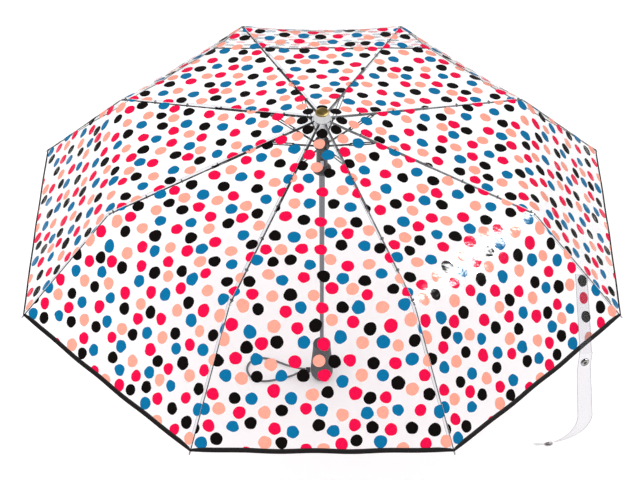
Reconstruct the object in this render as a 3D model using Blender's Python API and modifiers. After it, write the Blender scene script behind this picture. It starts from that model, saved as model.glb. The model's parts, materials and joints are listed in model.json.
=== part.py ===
"""Clear folding umbrella, open: a dome of clear film on eight three-section ribs and a telescopic shaft.

Metres, +Z up. The origin is the flat end of the handle, on the shaft's axis. Rib k points at
22.5 + 45k degrees and panel k lies between two ribs, at 45k degrees.
"""

import math

import bmesh
import bpy
from mathutils import Matrix, Vector

MM = 0.001
FIT = 0.3 * MM
CUTTER_REACH = 20 * MM

# Overall sizes
RIB_COUNT = 8
CROWN_PIVOT_Z = 566 * MM
CROWN_PIVOT_R = 13 * MM
INNER_RIB_LENGTH = 163 * MM
MIDDLE_RIB_LENGTH = 165 * MM
OUTER_RIB_LENGTH = 211.6 * MM
INNER_SLOPE = math.radians(12.2)
OUTER_SLOPE = math.radians(46.93)

# Ribs
RIB_HALF_HEIGHT = 1.0 * MM
INNER_RIB_HALF_WIDTH = 1.6 * MM
INNER_RIB_WALL = 0.4 * MM
MIDDLE_RIB_WALL = 0.3 * MM
MIDDLE_RIB_TAIL = 20 * MM
HINGE_OFFSET = 1.2 * MM
EAR_REACH = 0.9 * MM
RIB_BEFORE_PIVOT = 1.4 * MM
RIB_TAB_HALF_LENGTH = 4.5 * MM
OUTER_WIRE_R = 0.8 * MM
WIRE_EYE_R = 0.35 * MM
WIRE_JOG = 5 * MM
TIP_R = 1.2 * MM
TIP_LENGTH = 8 * MM
TIP_BEYOND_HEM = 5.5 * MM

# Stretchers
STRETCHER_PIVOT_ALONG = 70 * MM
STRETCHER_PIVOT_DROP = 3.2 * MM
STRETCHER_HALF_HEIGHT = 1.0 * MM
STRETCHER_HALF_WIDTH = 1.1 * MM
FORK_WALL = 0.7 * MM
FORK_START = 40 * MM
FORK_BLOCK = 3 * MM
FORK_PAST_PIVOT = 1.4 * MM
BAR_BEFORE_HINGE = 1.2 * MM

# Shaft tubes: each slides inside the next one up
LOWER_TUBE_R = 3.2 * MM
TUBE_WALL = 0.4 * MM
TUBE_GAP = 0.25 * MM
LOWER_TUBE_BOTTOM = 12 * MM
LOWER_TUBE_TOP = 244 * MM
MIDDLE_TUBE_BOTTOM = 225 * MM
MIDDLE_TUBE_TOP = 375 * MM
UPPER_TUBE_BOTTOM = 354 * MM

# Handle
HANDLE_LENGTH = 82 * MM
HANDLE_TOP_R = 14.5 * MM
HANDLE_MAX_R = 18.5 * MM
HANDLE_WIDEST_Z = 16 * MM
HANDLE_LIP = 2.5 * MM
PLUG_R = 6.5 * MM
PLUG_THICKNESS = 3 * MM
PLUG_BEVEL = 0.6 * MM

# Crown and cap
CROWN_R = 14.5 * MM
CROWN_TOP_ABOVE_PIVOT = 2 * MM
CROWN_RIM_HEIGHT = 6 * MM
CROWN_HUB_R = 9 * MM
CROWN_HUB_DEPTH = 16 * MM
CROWN_NECK = 3 * MM
CROWN_SOCKET_DROP = 4 * MM
CROWN_SLOT_BEHIND = 2.8 * MM
CROWN_BORE_R = 3.3 * MM
CAP_R = 10 * MM
CAP_HEIGHT = 3.0 * MM
CAP_STEM_BOTTOM = CROWN_PIVOT_Z - 3 * MM
WASHER_R = 13 * MM
WASHER_RIM = 0.9 * MM
WASHER_HEIGHT = 10.1 * MM

# Runner
RUNNER_HINGE_R = 9.8 * MM
RUNNER_HINGE_DROP = 48 * MM
RUNNER_BODY_R = 8.5 * MM
RUNNER_RING_R = 11.4 * MM
RUNNER_ABOVE_HINGE = 7 * MM
RUNNER_BELOW_HINGE = 51 * MM
RUNNER_RING_HEIGHT = 11 * MM
RUNNER_FLANGE_R = 14 * MM
RUNNER_FLANGE_HEIGHT = 4 * MM
RUNNER_FLARE = 8 * MM
RUNNER_NECK = 3 * MM
RUNNER_SLOT_BELOW = 2.3 * MM
RUNNER_SLOT_BEHIND = 1.5 * MM
BUTTON_WIDTH = 5 * MM
BUTTON_HEIGHT = 12 * MM
BUTTON_DEPTH = 1.4 * MM
BUTTON_PROUD = 1.5 * MM
BUTTON_TRAVEL = 1.0 * MM
BUTTON_ROUND = 0.5 * MM
BUTTON_BELOW_HINGE = 30 * MM

# Canopy
FILM_THICKNESS = 0.4 * MM
FILM_ABOVE_RIB = 2.8 * MM
FILM_ABOVE_KNEE = 3.0 * MM
FILM_OPENING_R = 5.2 * MM
FILM_SAG = 9 * MM
HEM_WIDTH = 6.5 * MM
HEM_THICKNESS = 0.8 * MM
HEM_CORNER_GAP = 5 * MM
FILM_ROWS = (1, 4, 4, 6)
FILM_COLUMNS = 6

# Closure strap
STRAP_PANEL = -1
STRAP_WIDTH = 23 * MM
STRAP_THICKNESS = 0.5 * MM
STRAP_ACROSS = 99 * MM
STRAP_UP_FILM = 90 * MM
STRAP_SLANT = math.radians(30)
STRAP_LIFT = 1.6 * MM
STRAP_DROP = 136 * MM
STRAP_CURL_R = 66 * MM
STRAP_CURL_TURN = math.radians(95)
STRAP_FACING = math.radians(8)
STRAP_TWIST = math.radians(50)
STRAP_LEAN = 12 * MM
STRAP_PAST_HEM = 2 * MM
STRAP_BEND = 4 * MM
SNAP_R = 6.85 * MM
SNAP_THICKNESS = 2.2 * MM
SNAP_PROUD = 0.7 * MM
SNAP_BELOW_HEM = 14 * MM

# Wrist cord
CORD_R = 1.75 * MM
CORD_Z = 15 * MM
CRIMP_START = 18.8 * MM
CRIMP_END = 26.6 * MM
CRIMP_HALF_WIDTH = 4.6 * MM
CRIMP_HALF_HEIGHT = 2.6 * MM
CRIMP_ROUND = 1.2 * MM
# The cord's own route: out of the crimp, down to the ground and round in a drop-shaped loop
CORD_ROUTE = (
    (-27.1, -2.2, 15.0), (-31.0, -2.2, 14.9), (-36.0, -2.3, 12.6), (-41.5, -2.5, 8.8),
    (-48.0, -3.0, 5.0), (-56.0, -4.4, 2.7), (-65.0, -6.6, 2.0), (-76.0, -10.0, 2.0),
    (-87.0, -12.8, 2.0), (-98.0, -13.6, 2.0), (-107.5, -11.6, 2.0), (-115.5, -6.8, 2.0),
    (-121.5, 0.6, 2.0), (-124.8, 9.6, 2.0), (-124.6, 19.4, 2.0), (-120.8, 28.4, 2.0),
    (-113.6, 35.0, 2.0), (-103.6, 38.2, 2.0), (-92.6, 37.2, 2.0), (-81.6, 33.4, 2.0),
    (-70.8, 28.2, 2.0), (-60.6, 22.6, 2.6), (-51.6, 17.0, 4.8), (-44.4, 11.8, 8.0),
    (-38.8, 7.2, 11.4), (-34.6, 4.0, 13.8), (-31.0, 2.4, 14.9), (-27.1, 2.2, 15.0),
)
CORD_POINTS = 60

# Worked-out places, in a rib's own plane: distance from the axis, then height
STRETCHER_PIVOT = Vector((
    CROWN_PIVOT_R + STRETCHER_PIVOT_ALONG * math.cos(INNER_SLOPE) - STRETCHER_PIVOT_DROP * math.sin(INNER_SLOPE),
    CROWN_PIVOT_Z - STRETCHER_PIVOT_ALONG * math.sin(INNER_SLOPE) - STRETCHER_PIVOT_DROP * math.cos(INNER_SLOPE),
))
RUNNER_HINGE = Vector((RUNNER_HINGE_R, CROWN_PIVOT_Z - RUNNER_HINGE_DROP))
STRETCHER_VECTOR = STRETCHER_PIVOT - RUNNER_HINGE
STRETCHER_LENGTH = STRETCHER_VECTOR.length
STRETCHER_SLOPE = -math.atan2(STRETCHER_VECTOR.y, STRETCHER_VECTOR.x)
RIB_WAY = Vector((math.cos(INNER_SLOPE), -math.sin(INNER_SLOPE)))
RIB_NORMAL = Vector((math.sin(INNER_SLOPE), math.cos(INNER_SLOPE)))
OUTER_WAY = Vector((math.cos(OUTER_SLOPE), -math.sin(OUTER_SLOPE)))
OUTER_NORMAL = Vector((math.sin(OUTER_SLOPE), math.cos(OUTER_SLOPE)))
CROWN_PIVOT = Vector((CROWN_PIVOT_R, CROWN_PIVOT_Z))
JOINT_ONE = CROWN_PIVOT + RIB_WAY * INNER_RIB_LENGTH + RIB_NORMAL * HINGE_OFFSET
KNEE = CROWN_PIVOT + RIB_WAY * (INNER_RIB_LENGTH + MIDDLE_RIB_LENGTH) - RIB_NORMAL * HINGE_OFFSET
MIDDLE_RIB_HALF_WIDTH = INNER_RIB_HALF_WIDTH - INNER_RIB_WALL - FIT
UPPER_TUBE_R = LOWER_TUBE_R + 2 * (TUBE_WALL + TUBE_GAP)
HALF_SECTOR = math.pi / RIB_COUNT


def crossing(point_a, way_a, point_b, way_b):
    """Where two lines of a rib's plane meet."""
    det = way_b.x * way_a.y - way_a.x * way_b.y
    gap = point_b - point_a
    along = (way_b.x * gap.y - way_b.y * gap.x) / det
    return point_a + way_a * along


FILM_START = CROWN_PIVOT + RIB_NORMAL * FILM_ABOVE_RIB
FILM_CORNER = KNEE + OUTER_NORMAL * FILM_ABOVE_KNEE + OUTER_WAY * OUTER_RIB_LENGTH
FILM_KNEE = crossing(FILM_START, RIB_WAY, FILM_CORNER, OUTER_WAY)
FILM_JOINT = FILM_START + RIB_WAY * INNER_RIB_LENGTH
CROWN_TOP = CROWN_PIVOT_Z + CROWN_TOP_ABOVE_PIVOT
FILM_TOP = FILM_START.y + FILM_THICKNESS / 2
WASHER_BOTTOM = FILM_TOP + FIT
CAP_BOTTOM = WASHER_BOTTOM + WASHER_HEIGHT + FIT


for old in list(bpy.data.objects):
    bpy.data.objects.remove(old, do_unlink=True)


def new_collection(name):
    collection = bpy.data.collections.new(name)
    bpy.context.scene.collection.children.link(collection)
    return collection


parts = new_collection("folding_umbrella")
cutters = new_collection("cutters")


def material(name, colour, roughness, metallic=0.0, alpha=1.0):
    made = bpy.data.materials.new(name)
    made.use_nodes = True
    shader = made.node_tree.nodes["Principled BSDF"]
    shader.inputs["Base Color"].default_value = (*colour, 1.0)
    shader.inputs["Roughness"].default_value = roughness
    shader.inputs["Metallic"].default_value = metallic
    shader.inputs["Alpha"].default_value = alpha
    return made


DARK_STEEL = material("dark_steel", (0.07, 0.07, 0.075), 0.35, 0.9)
BRIGHT_STEEL = material("bright_steel", (0.55, 0.56, 0.58), 0.25, 1.0)
BLACK_PLASTIC = material("black_plastic", (0.03, 0.03, 0.034), 0.5)
CLEAR_PLASTIC = material("clear_plastic", (0.8, 0.82, 0.84), 0.25, 0.0, 0.7)
CAP_METAL = material("bronze_cap", (0.26, 0.2, 0.06), 0.35, 0.8)
CLEAR_FILM = material("clear_film", (0.9, 0.92, 0.94), 0.15, 0.0, 0.35)
BLACK_TAPE = material("black_tape", (0.02, 0.02, 0.02), 0.7)
GREY_CORD = material("grey_cord", (0.08, 0.08, 0.085), 0.75)


def add_object(name, data, finish, collection=parts):
    made = bpy.data.objects.new(name, data)
    collection.objects.link(made)
    if finish and not data.materials:
        data.materials.append(finish)
    return made


def in_plane(point, azimuth):
    """A point of a rib's or panel's plane, as (distance from the axis, height), in space."""
    return Vector((point.x * math.cos(azimuth), point.x * math.sin(azimuth), point.y))


def place(made, point, slope, azimuth):
    """Puts an object's origin on its hinge and turns its local X down the slope, outwards."""
    made.location = in_plane(point, azimuth)
    made.rotation_euler = (0.0, slope, azimuth)
    return made


def mesh_from_bmesh(name, bm):
    mesh = bpy.data.meshes.new(name)
    bm.to_mesh(mesh)
    bm.free()
    return mesh


def evaluated_mesh(made):
    """The object's mesh with its modifiers applied, welded; the object itself is removed."""
    graph = bpy.context.evaluated_depsgraph_get()
    mesh = bpy.data.meshes.new_from_object(made.evaluated_get(graph))
    bm = bmesh.new()
    bm.from_mesh(mesh)
    bmesh.ops.remove_doubles(bm, verts=bm.verts, dist=1e-7)
    bm.to_mesh(mesh)
    bm.free()
    bpy.data.objects.remove(made, do_unlink=True)
    return mesh


def turned(name, profile, finish, steps=32):
    """A closed (radius, height) outline, listed from its outer top downwards, turned about Z."""
    bm = bmesh.new()
    points = [bm.verts.new((radius, 0.0, height)) for radius, height in profile]
    ends = list(zip(points, points[1:]))
    on_axis = profile[0][0] < 1e-9 and profile[-1][0] < 1e-9
    if not on_axis:
        ends.append((points[-1], points[0]))
    for first, second in ends:
        bm.edges.new((first, second))
    made = add_object(name, mesh_from_bmesh(name, bm), finish)
    screw = made.modifiers.new("turn", "SCREW")
    screw.steps = steps
    screw.render_steps = steps
    screw.use_merge_vertices = True
    screw.merge_threshold = 0.00001
    screw.use_smooth_shade = False
    return made


def box(name, low, high, collection=cutters, finish=None):
    """A box between two corners, with its place in its mesh."""
    bm = bmesh.new()
    bmesh.ops.create_cube(bm, size=1.0)
    size = [b - a for a, b in zip(low, high)]
    middle = [(a + b) / 2 for a, b in zip(low, high)]
    bmesh.ops.transform(bm, matrix=Matrix.Translation(middle) @ Matrix.Diagonal((*size, 1.0)), verts=bm.verts)
    made = add_object(name, mesh_from_bmesh(name, bm), finish, collection)
    if collection is cutters:
        made.hide_render = True
        made.display_type = "WIRE"
    return made


def cut(made, cutter):
    modifier = made.modifiers.new(cutter.name, "BOOLEAN")
    modifier.operation = "DIFFERENCE"
    modifier.solver = "EXACT"
    modifier.object = cutter


def channel_mesh(name, half_width, web, outline):
    """Sheet bent to a U: one flat web on top and two equal side walls, as an open surface.

    web is ((x, z), (x, z)), the web's two ends; outline goes on from the second end round the
    side wall's edge and back to the first.
    """
    bm = bmesh.new()
    sides = []
    for side in (-half_width, half_width):
        verts = [bm.verts.new((x, side, z)) for x, z in (*web, *outline)]
        bm.faces.new(verts)
        sides.append(verts)
    bm.faces.new((sides[0][0], sides[1][0], sides[1][1], sides[0][1]))
    bmesh.ops.recalc_face_normals(bm, faces=bm.faces)
    return mesh_from_bmesh(name, bm)


def thicken(made, thickness):
    solidify = made.modifiers.new("wall", "SOLIDIFY")
    solidify.thickness = thickness
    solidify.offset = 0.0
    solidify.use_even_offset = True


def rod(name, points, radii, finish, sides=2):
    """A wire through the points, with its own radius at each."""
    curve = bpy.data.curves.new(name, "CURVE")
    curve.dimensions = "3D"
    curve.bevel_depth = max(radii)
    curve.bevel_resolution = sides
    curve.use_fill_caps = True
    spline = curve.splines.new("POLY")
    spline.points.add(len(points) - 1)
    for slot, point, radius in zip(spline.points, points, radii):
        slot.co = (*point, 1.0)
        slot.radius = radius / max(radii)
    return add_object(name, curve, finish)


def smooth_route(route, count):
    """Evenly spread points on a centripetal-like Catmull-Rom curve through a route's own points."""
    fine = []
    ends = [route[0] * 2 - route[1], *route, route[-1] * 2 - route[-2]]
    for before, start, end, after in zip(ends, ends[1:], ends[2:], ends[3:]):
        for step in range(12):
            t = step / 12
            fine.append(0.5 * (
                start * 2 + (end - before) * t + (before * 2 - start * 5 + end * 4 - after) * t**2
                + (start * 3 - before - end * 3 + after) * t**3
            ))
    fine.append(route[-1])
    lengths = [0.0]
    for first, second in zip(fine, fine[1:]):
        lengths.append(lengths[-1] + (second - first).length)
    spread = []
    segment = 0
    for step in range(count):
        wanted = lengths[-1] * step / (count - 1)
        while segment < len(fine) - 2 and lengths[segment + 1] < wanted:
            segment += 1
        share = (wanted - lengths[segment]) / (lengths[segment + 1] - lengths[segment])
        spread.append(fine[segment].lerp(fine[segment + 1], min(share, 1.0)))
    return spread


def rib_azimuth(k):
    return HALF_SECTOR + k * 2 * HALF_SECTOR


def panel_azimuth(k):
    return k * 2 * HALF_SECTOR


def build_shaft():
    tubes = (
        ("lower_tube", LOWER_TUBE_R, LOWER_TUBE_BOTTOM, LOWER_TUBE_TOP),
        ("middle_tube", LOWER_TUBE_R + TUBE_WALL + TUBE_GAP, MIDDLE_TUBE_BOTTOM, MIDDLE_TUBE_TOP),
        ("upper_tube", UPPER_TUBE_R, UPPER_TUBE_BOTTOM, CROWN_PIVOT_Z - CROWN_SOCKET_DROP - FIT),
    )
    for name, radius, bottom, top in tubes:
        inner = radius - TUBE_WALL
        turned(name, ((radius, top), (radius, bottom), (inner, bottom), (inner, top)), BRIGHT_STEEL, 24)


def build_handle():
    bore = LOWER_TUBE_R + FIT
    seat = PLUG_THICKNESS + FIT
    outer = [
        (HANDLE_TOP_R - HANDLE_LIP * 0.9, HANDLE_LENGTH),
        (HANDLE_TOP_R - HANDLE_LIP * 0.25, HANDLE_LENGTH - HANDLE_LIP * 0.3),
    ]
    for step in range(9):
        share = step / 8
        height = (HANDLE_LENGTH - HANDLE_LIP) * (1 - share) + HANDLE_WIDEST_Z * share
        swell = 0.5 - 0.5 * math.cos(math.pi * share)
        outer.append((HANDLE_TOP_R + (HANDLE_MAX_R - HANDLE_TOP_R) * swell, height))
    low_r = PLUG_R + HANDLE_LIP
    for step in range(1, 7):
        angle = math.pi / 2 * step / 6
        outer.append((
            low_r + (HANDLE_MAX_R - low_r) * math.cos(angle),
            HANDLE_WIDEST_Z - (HANDLE_WIDEST_Z - FIT) * math.sin(angle),
        ))
    recess_r = PLUG_R + FIT
    inner = ((recess_r, FIT), (recess_r, seat), (bore, seat), (bore, HANDLE_LENGTH))
    turned("handle_grip", (*outer, *inner), BLACK_PLASTIC, 40)
    turned(
        "handle_end_plug",
        (
            (0.0, PLUG_THICKNESS), (PLUG_R, PLUG_THICKNESS), (PLUG_R, PLUG_BEVEL),
            (PLUG_R - PLUG_BEVEL, 0.0), (0.0, 0.0),
        ),
        BLACK_PLASTIC,
    )


def build_crown():
    rim_bottom = CROWN_TOP - CROWN_RIM_HEIGHT
    hub_bottom = CROWN_TOP - CROWN_HUB_DEPTH
    socket_r = UPPER_TUBE_R + FIT
    socket_top = CROWN_PIVOT_Z - CROWN_SOCKET_DROP
    crown = turned("crown", (
        (CROWN_R, CROWN_TOP), (CROWN_R, rim_bottom), (CROWN_HUB_R, rim_bottom - CROWN_NECK),
        (CROWN_HUB_R, hub_bottom), (socket_r, hub_bottom), (socket_r, socket_top),
        (CROWN_BORE_R, socket_top), (CROWN_BORE_R, CROWN_TOP),
    ), CLEAR_PLASTIC, 48)
    half = INNER_RIB_HALF_WIDTH + INNER_RIB_WALL / 2 + FIT
    floor_r = CROWN_PIVOT_R - CROWN_SLOT_BEHIND
    for k in range(RIB_COUNT):
        low = (floor_r, -half, -CUTTER_REACH)
        slot = box(f"crown_slot_{k + 1}", low, (CROWN_R + CUTTER_REACH, half, CUTTER_REACH))
        slot.location = (0.0, 0.0, CROWN_PIVOT_Z)
        slot.rotation_euler = (0.0, 0.0, rib_azimuth(k))
        cut(crown, slot)
    turned("crown_washer", (
        (CAP_R, WASHER_BOTTOM + WASHER_HEIGHT), (WASHER_R, WASHER_BOTTOM + WASHER_RIM), (WASHER_R, WASHER_BOTTOM),
        (CROWN_BORE_R, WASHER_BOTTOM), (CROWN_BORE_R, WASHER_BOTTOM + WASHER_HEIGHT),
    ), CLEAR_PLASTIC, 48)
    stem = CROWN_BORE_R - FIT
    turned("top_cap", (
        (0.0, CAP_BOTTOM + CAP_HEIGHT), (CAP_R * 0.55, CAP_BOTTOM + CAP_HEIGHT * 0.96),
        (CAP_R * 0.86, CAP_BOTTOM + CAP_HEIGHT * 0.8), (CAP_R, CAP_BOTTOM + CAP_HEIGHT * 0.5),
        (CAP_R, CAP_BOTTOM), (stem, CAP_BOTTOM), (stem, CAP_STEM_BOTTOM), (0.0, CAP_STEM_BOTTOM),
    ), CAP_METAL, 40)


def build_runner():
    hinge = RUNNER_HINGE.y
    top = hinge + RUNNER_ABOVE_HINGE
    bottom = hinge - RUNNER_BELOW_HINGE
    ring_bottom = top - RUNNER_RING_HEIGHT
    bore = UPPER_TUBE_R + FIT
    runner = turned("runner", (
        (RUNNER_RING_R, top), (RUNNER_RING_R, ring_bottom), (RUNNER_BODY_R, ring_bottom - RUNNER_NECK),
        (RUNNER_BODY_R, bottom + RUNNER_FLANGE_HEIGHT + RUNNER_FLARE),
        (RUNNER_FLANGE_R, bottom + RUNNER_FLANGE_HEIGHT), (RUNNER_FLANGE_R, bottom),
        (bore, bottom), (bore, top),
    ), BLACK_PLASTIC, 48)
    half = STRETCHER_HALF_WIDTH + FIT
    floor_r = RUNNER_HINGE_R - RUNNER_SLOT_BEHIND
    for k in range(RIB_COUNT):
        low = (floor_r, -half, -RUNNER_SLOT_BELOW)
        slot = box(f"runner_slot_{k + 1}", low, (RUNNER_RING_R + CUTTER_REACH, half, CUTTER_REACH))
        slot.location = (0.0, 0.0, hinge)
        slot.rotation_euler = (0.0, 0.0, rib_azimuth(k))
        cut(runner, slot)
    middle = hinge - BUTTON_BELOW_HINGE
    face = RUNNER_BODY_R + BUTTON_PROUD
    back = face - BUTTON_DEPTH
    half_width = BUTTON_WIDTH / 2
    half_height = BUTTON_HEIGHT / 2
    pocket = box(
        "catch_pocket",
        (-half_width - FIT, -CUTTER_REACH, middle - half_height - FIT),
        (half_width + FIT, -(back - BUTTON_TRAVEL - FIT), middle + half_height + FIT),
    )
    cut(runner, pocket)
    button = box(
        "runner_catch",
        (-half_width, -face, middle - half_height), (half_width, -back, middle + half_height),
        parts, BRIGHT_STEEL,
    )
    rounding = button.modifiers.new("soft_edges", "BEVEL")
    rounding.width = BUTTON_ROUND
    rounding.segments = 2


def inner_rib_mesh():
    z = RIB_HALF_HEIGHT - INNER_RIB_WALL / 2
    low = -RIB_HALF_HEIGHT
    end = INNER_RIB_LENGTH
    pivot = STRETCHER_PIVOT_ALONG
    tab = -STRETCHER_PIVOT_DROP - EAR_REACH
    ear_top = HINGE_OFFSET + EAR_REACH
    return channel_mesh(
        "inner_rib", INNER_RIB_HALF_WIDTH - INNER_RIB_WALL / 2,
        ((-RIB_BEFORE_PIVOT, z), (end - 2.4 * MM, z)),
        (
            (end - 1.2 * MM, ear_top), (end + 0.8 * MM, ear_top), (end + 1.5 * MM, HINGE_OFFSET),
            (end + 1.5 * MM, low), (pivot + RIB_TAB_HALF_LENGTH, low), (pivot + EAR_REACH, tab),
            (pivot - EAR_REACH, tab), (pivot - RIB_TAB_HALF_LENGTH, low), (-RIB_BEFORE_PIVOT, low),
        ),
    )


def middle_rib_mesh():
    line = -HINGE_OFFSET
    web = line + RIB_HALF_HEIGHT - INNER_RIB_WALL - FIT - MIDDLE_RIB_WALL / 2
    low = line - RIB_HALF_HEIGHT
    end = MIDDLE_RIB_LENGTH
    knee = line - HINGE_OFFSET - EAR_REACH
    return channel_mesh(
        "middle_rib", MIDDLE_RIB_HALF_WIDTH - MIDDLE_RIB_WALL / 2,
        ((2 * MM, web), (end - 2 * MM, web)),
        (
            (end + 1.0 * MM, web), (end + 1.2 * MM, knee + 0.5 * MM), (end + 0.6 * MM, knee),
            (end - 1.2 * MM, knee), (end - 3.5 * MM, low), (-MIDDLE_RIB_TAIL, low), (-MIDDLE_RIB_TAIL, web),
            (-1.4 * MM, web), (-0.7 * MM, EAR_REACH), (0.7 * MM, EAR_REACH), (1.4 * MM, web),
        ),
    )


def build_ribs():
    inner_mesh = inner_rib_mesh()
    middle_mesh = middle_rib_mesh()
    fork_mesh = stretcher_mesh()
    wire = (
        (0.0, 0.0, WIRE_EYE_R), (1.6 * MM, 0.35 * MM, WIRE_EYE_R), (WIRE_JOG, HINGE_OFFSET, OUTER_WIRE_R),
        (OUTER_RIB_LENGTH * 0.5, HINGE_OFFSET, OUTER_WIRE_R),
        (OUTER_RIB_LENGTH + TIP_BEYOND_HEM - TIP_LENGTH, HINGE_OFFSET, OUTER_WIRE_R),
        (OUTER_RIB_LENGTH + TIP_BEYOND_HEM - TIP_LENGTH + 0.8 * MM, HINGE_OFFSET, TIP_R),
        (OUTER_RIB_LENGTH + TIP_BEYOND_HEM - 1.0 * MM, HINGE_OFFSET, TIP_R),
        (OUTER_RIB_LENGTH + TIP_BEYOND_HEM, HINGE_OFFSET, TIP_R * 0.6),
    )
    for k in range(RIB_COUNT):
        azimuth = rib_azimuth(k)
        inner = place(add_object(f"inner_rib_{k + 1}", inner_mesh, DARK_STEEL), CROWN_PIVOT, INNER_SLOPE, azimuth)
        thicken(inner, INNER_RIB_WALL)
        middle = place(add_object(f"middle_rib_{k + 1}", middle_mesh, DARK_STEEL), JOINT_ONE, INNER_SLOPE, azimuth)
        thicken(middle, MIDDLE_RIB_WALL)
        outer = rod(f"outer_rib_{k + 1}", [(x, 0.0, z) for x, z, _ in wire], [r for *_, r in wire], DARK_STEEL)
        place(outer, KNEE, OUTER_SLOPE, azimuth)
        fork = add_object(f"stretcher_{k + 1}", fork_mesh, DARK_STEEL)
        place(fork, RUNNER_HINGE, STRETCHER_SLOPE, azimuth)


def stretcher_mesh():
    """A flat bar from the runner that opens into a fork whose two cheeks hold the rib's pivot tab."""
    slack = INNER_RIB_HALF_WIDTH + INNER_RIB_WALL / 4 + FIT
    outer = slack + FORK_WALL
    height = STRETCHER_HALF_HEIGHT
    end = STRETCHER_LENGTH + FORK_PAST_PIVOT
    bar = box("stretcher", (-BAR_BEFORE_HINGE, -outer, -height), (end, outer, height), cutters)
    cut(bar, box("fork_gap", (FORK_START, -slack, -CUTTER_REACH), (end + CUTTER_REACH, slack, CUTTER_REACH)))
    shoulder = FORK_START - FORK_BLOCK
    for side in (-1, 1):
        near = side * STRETCHER_HALF_WIDTH
        far = side * CUTTER_REACH
        low = (-CUTTER_REACH, min(near, far), -CUTTER_REACH)
        high = (shoulder, max(near, far), CUTTER_REACH)
        cut(bar, box(f"bar_side_{side + 2}", low, high))
    return evaluated_mesh(bar)


def film_rows():
    """The film's line over a rib: (distance, height, how much of the sag the panel's middle has)."""
    stops = (
        (Vector((FILM_OPENING_R, FILM_START.y)), 0.0), (FILM_START, 0.0), (FILM_JOINT, 0.75),
        (FILM_KNEE, 1.0), (FILM_CORNER, 0.0),
    )
    rows = [(stops[0][0].x, stops[0][0].y, 0.0)]
    for (start, sag_a), (end, sag_b), count in zip(stops, stops[1:], FILM_ROWS):
        for step in range(1, count + 1):
            share = step / count
            point = start.lerp(end, share)
            rows.append((point.x, point.y, sag_a + (sag_b - sag_a) * share))
    edge = HEM_WIDTH + FIT
    last = FILM_CORNER - OUTER_WAY * edge
    rows[-1] = (last.x, last.y, rows[-1][2])
    return rows


def build_film():
    around = RIB_COUNT * FILM_COLUMNS
    bm = bmesh.new()
    rings = []
    for reach, height, sag in film_rows():
        ring = []
        for step in range(around):
            k, column = divmod(step, FILM_COLUMNS)
            share = column / FILM_COLUMNS
            first = Vector((reach * math.cos(rib_azimuth(k)), reach * math.sin(rib_azimuth(k)), height))
            second = Vector((reach * math.cos(rib_azimuth(k + 1)), reach * math.sin(rib_azimuth(k + 1)), height))
            point = first.lerp(second, share)
            point.z -= FILM_SAG * sag * 4 * share * (1 - share)
            ring.append(bm.verts.new(point))
        rings.append(ring)
    for upper, lower in zip(rings, rings[1:]):
        for step in range(around):
            other = (step + 1) % around
            bm.faces.new((upper[step], lower[step], lower[other], upper[other]))
    film = add_object("canopy_film", mesh_from_bmesh("canopy_film", bm), CLEAR_FILM)
    thicken(film, FILM_THICKNESS)


def panel_frame(k):
    """The panel's outward, sideways and up-the-slope directions, and the middle of its hem."""
    azimuth = panel_azimuth(k)
    outward = Vector((math.cos(azimuth), math.sin(azimuth), 0.0))
    sideways = Vector((-math.sin(azimuth), math.cos(azimuth), 0.0))
    reach = math.cos(HALF_SECTOR)
    hem = outward * FILM_CORNER.x * reach + Vector((0.0, 0.0, FILM_CORNER.y))
    knee = outward * FILM_KNEE.x * reach + Vector((0.0, 0.0, FILM_KNEE.y))
    uphill = (knee - hem).normalized()
    return outward, sideways, uphill, hem


def build_hems():
    half_length = FILM_CORNER.x * math.sin(HALF_SECTOR) - HEM_CORNER_GAP
    for k in range(RIB_COUNT):
        outward, sideways, uphill, hem = panel_frame(k)
        tape = box(
            f"hem_binding_{k + 1}",
            (0.0, -half_length, -HEM_THICKNESS / 2), (HEM_WIDTH, half_length, HEM_THICKNESS / 2),
            parts, BLACK_TAPE,
        )
        turn = Matrix((uphill, sideways, uphill.cross(sideways))).transposed().to_4x4()
        tape.matrix_world = Matrix.Translation(hem) @ turn


def ribbon(name, centres, across, thickness):
    """A flat strap along a line of centres, with its own crosswise direction at each."""
    bm = bmesh.new()
    edges = []
    for centre, way in zip(centres, across):
        edges.append((bm.verts.new(centre - way * STRAP_WIDTH / 2), bm.verts.new(centre + way * STRAP_WIDTH / 2)))
    for (a, b), (c, d) in zip(edges, edges[1:]):
        bm.faces.new((a, b, d, c))
    made = add_object(name, mesh_from_bmesh(name, bm), CLEAR_FILM)
    thicken(made, thickness)


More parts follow.
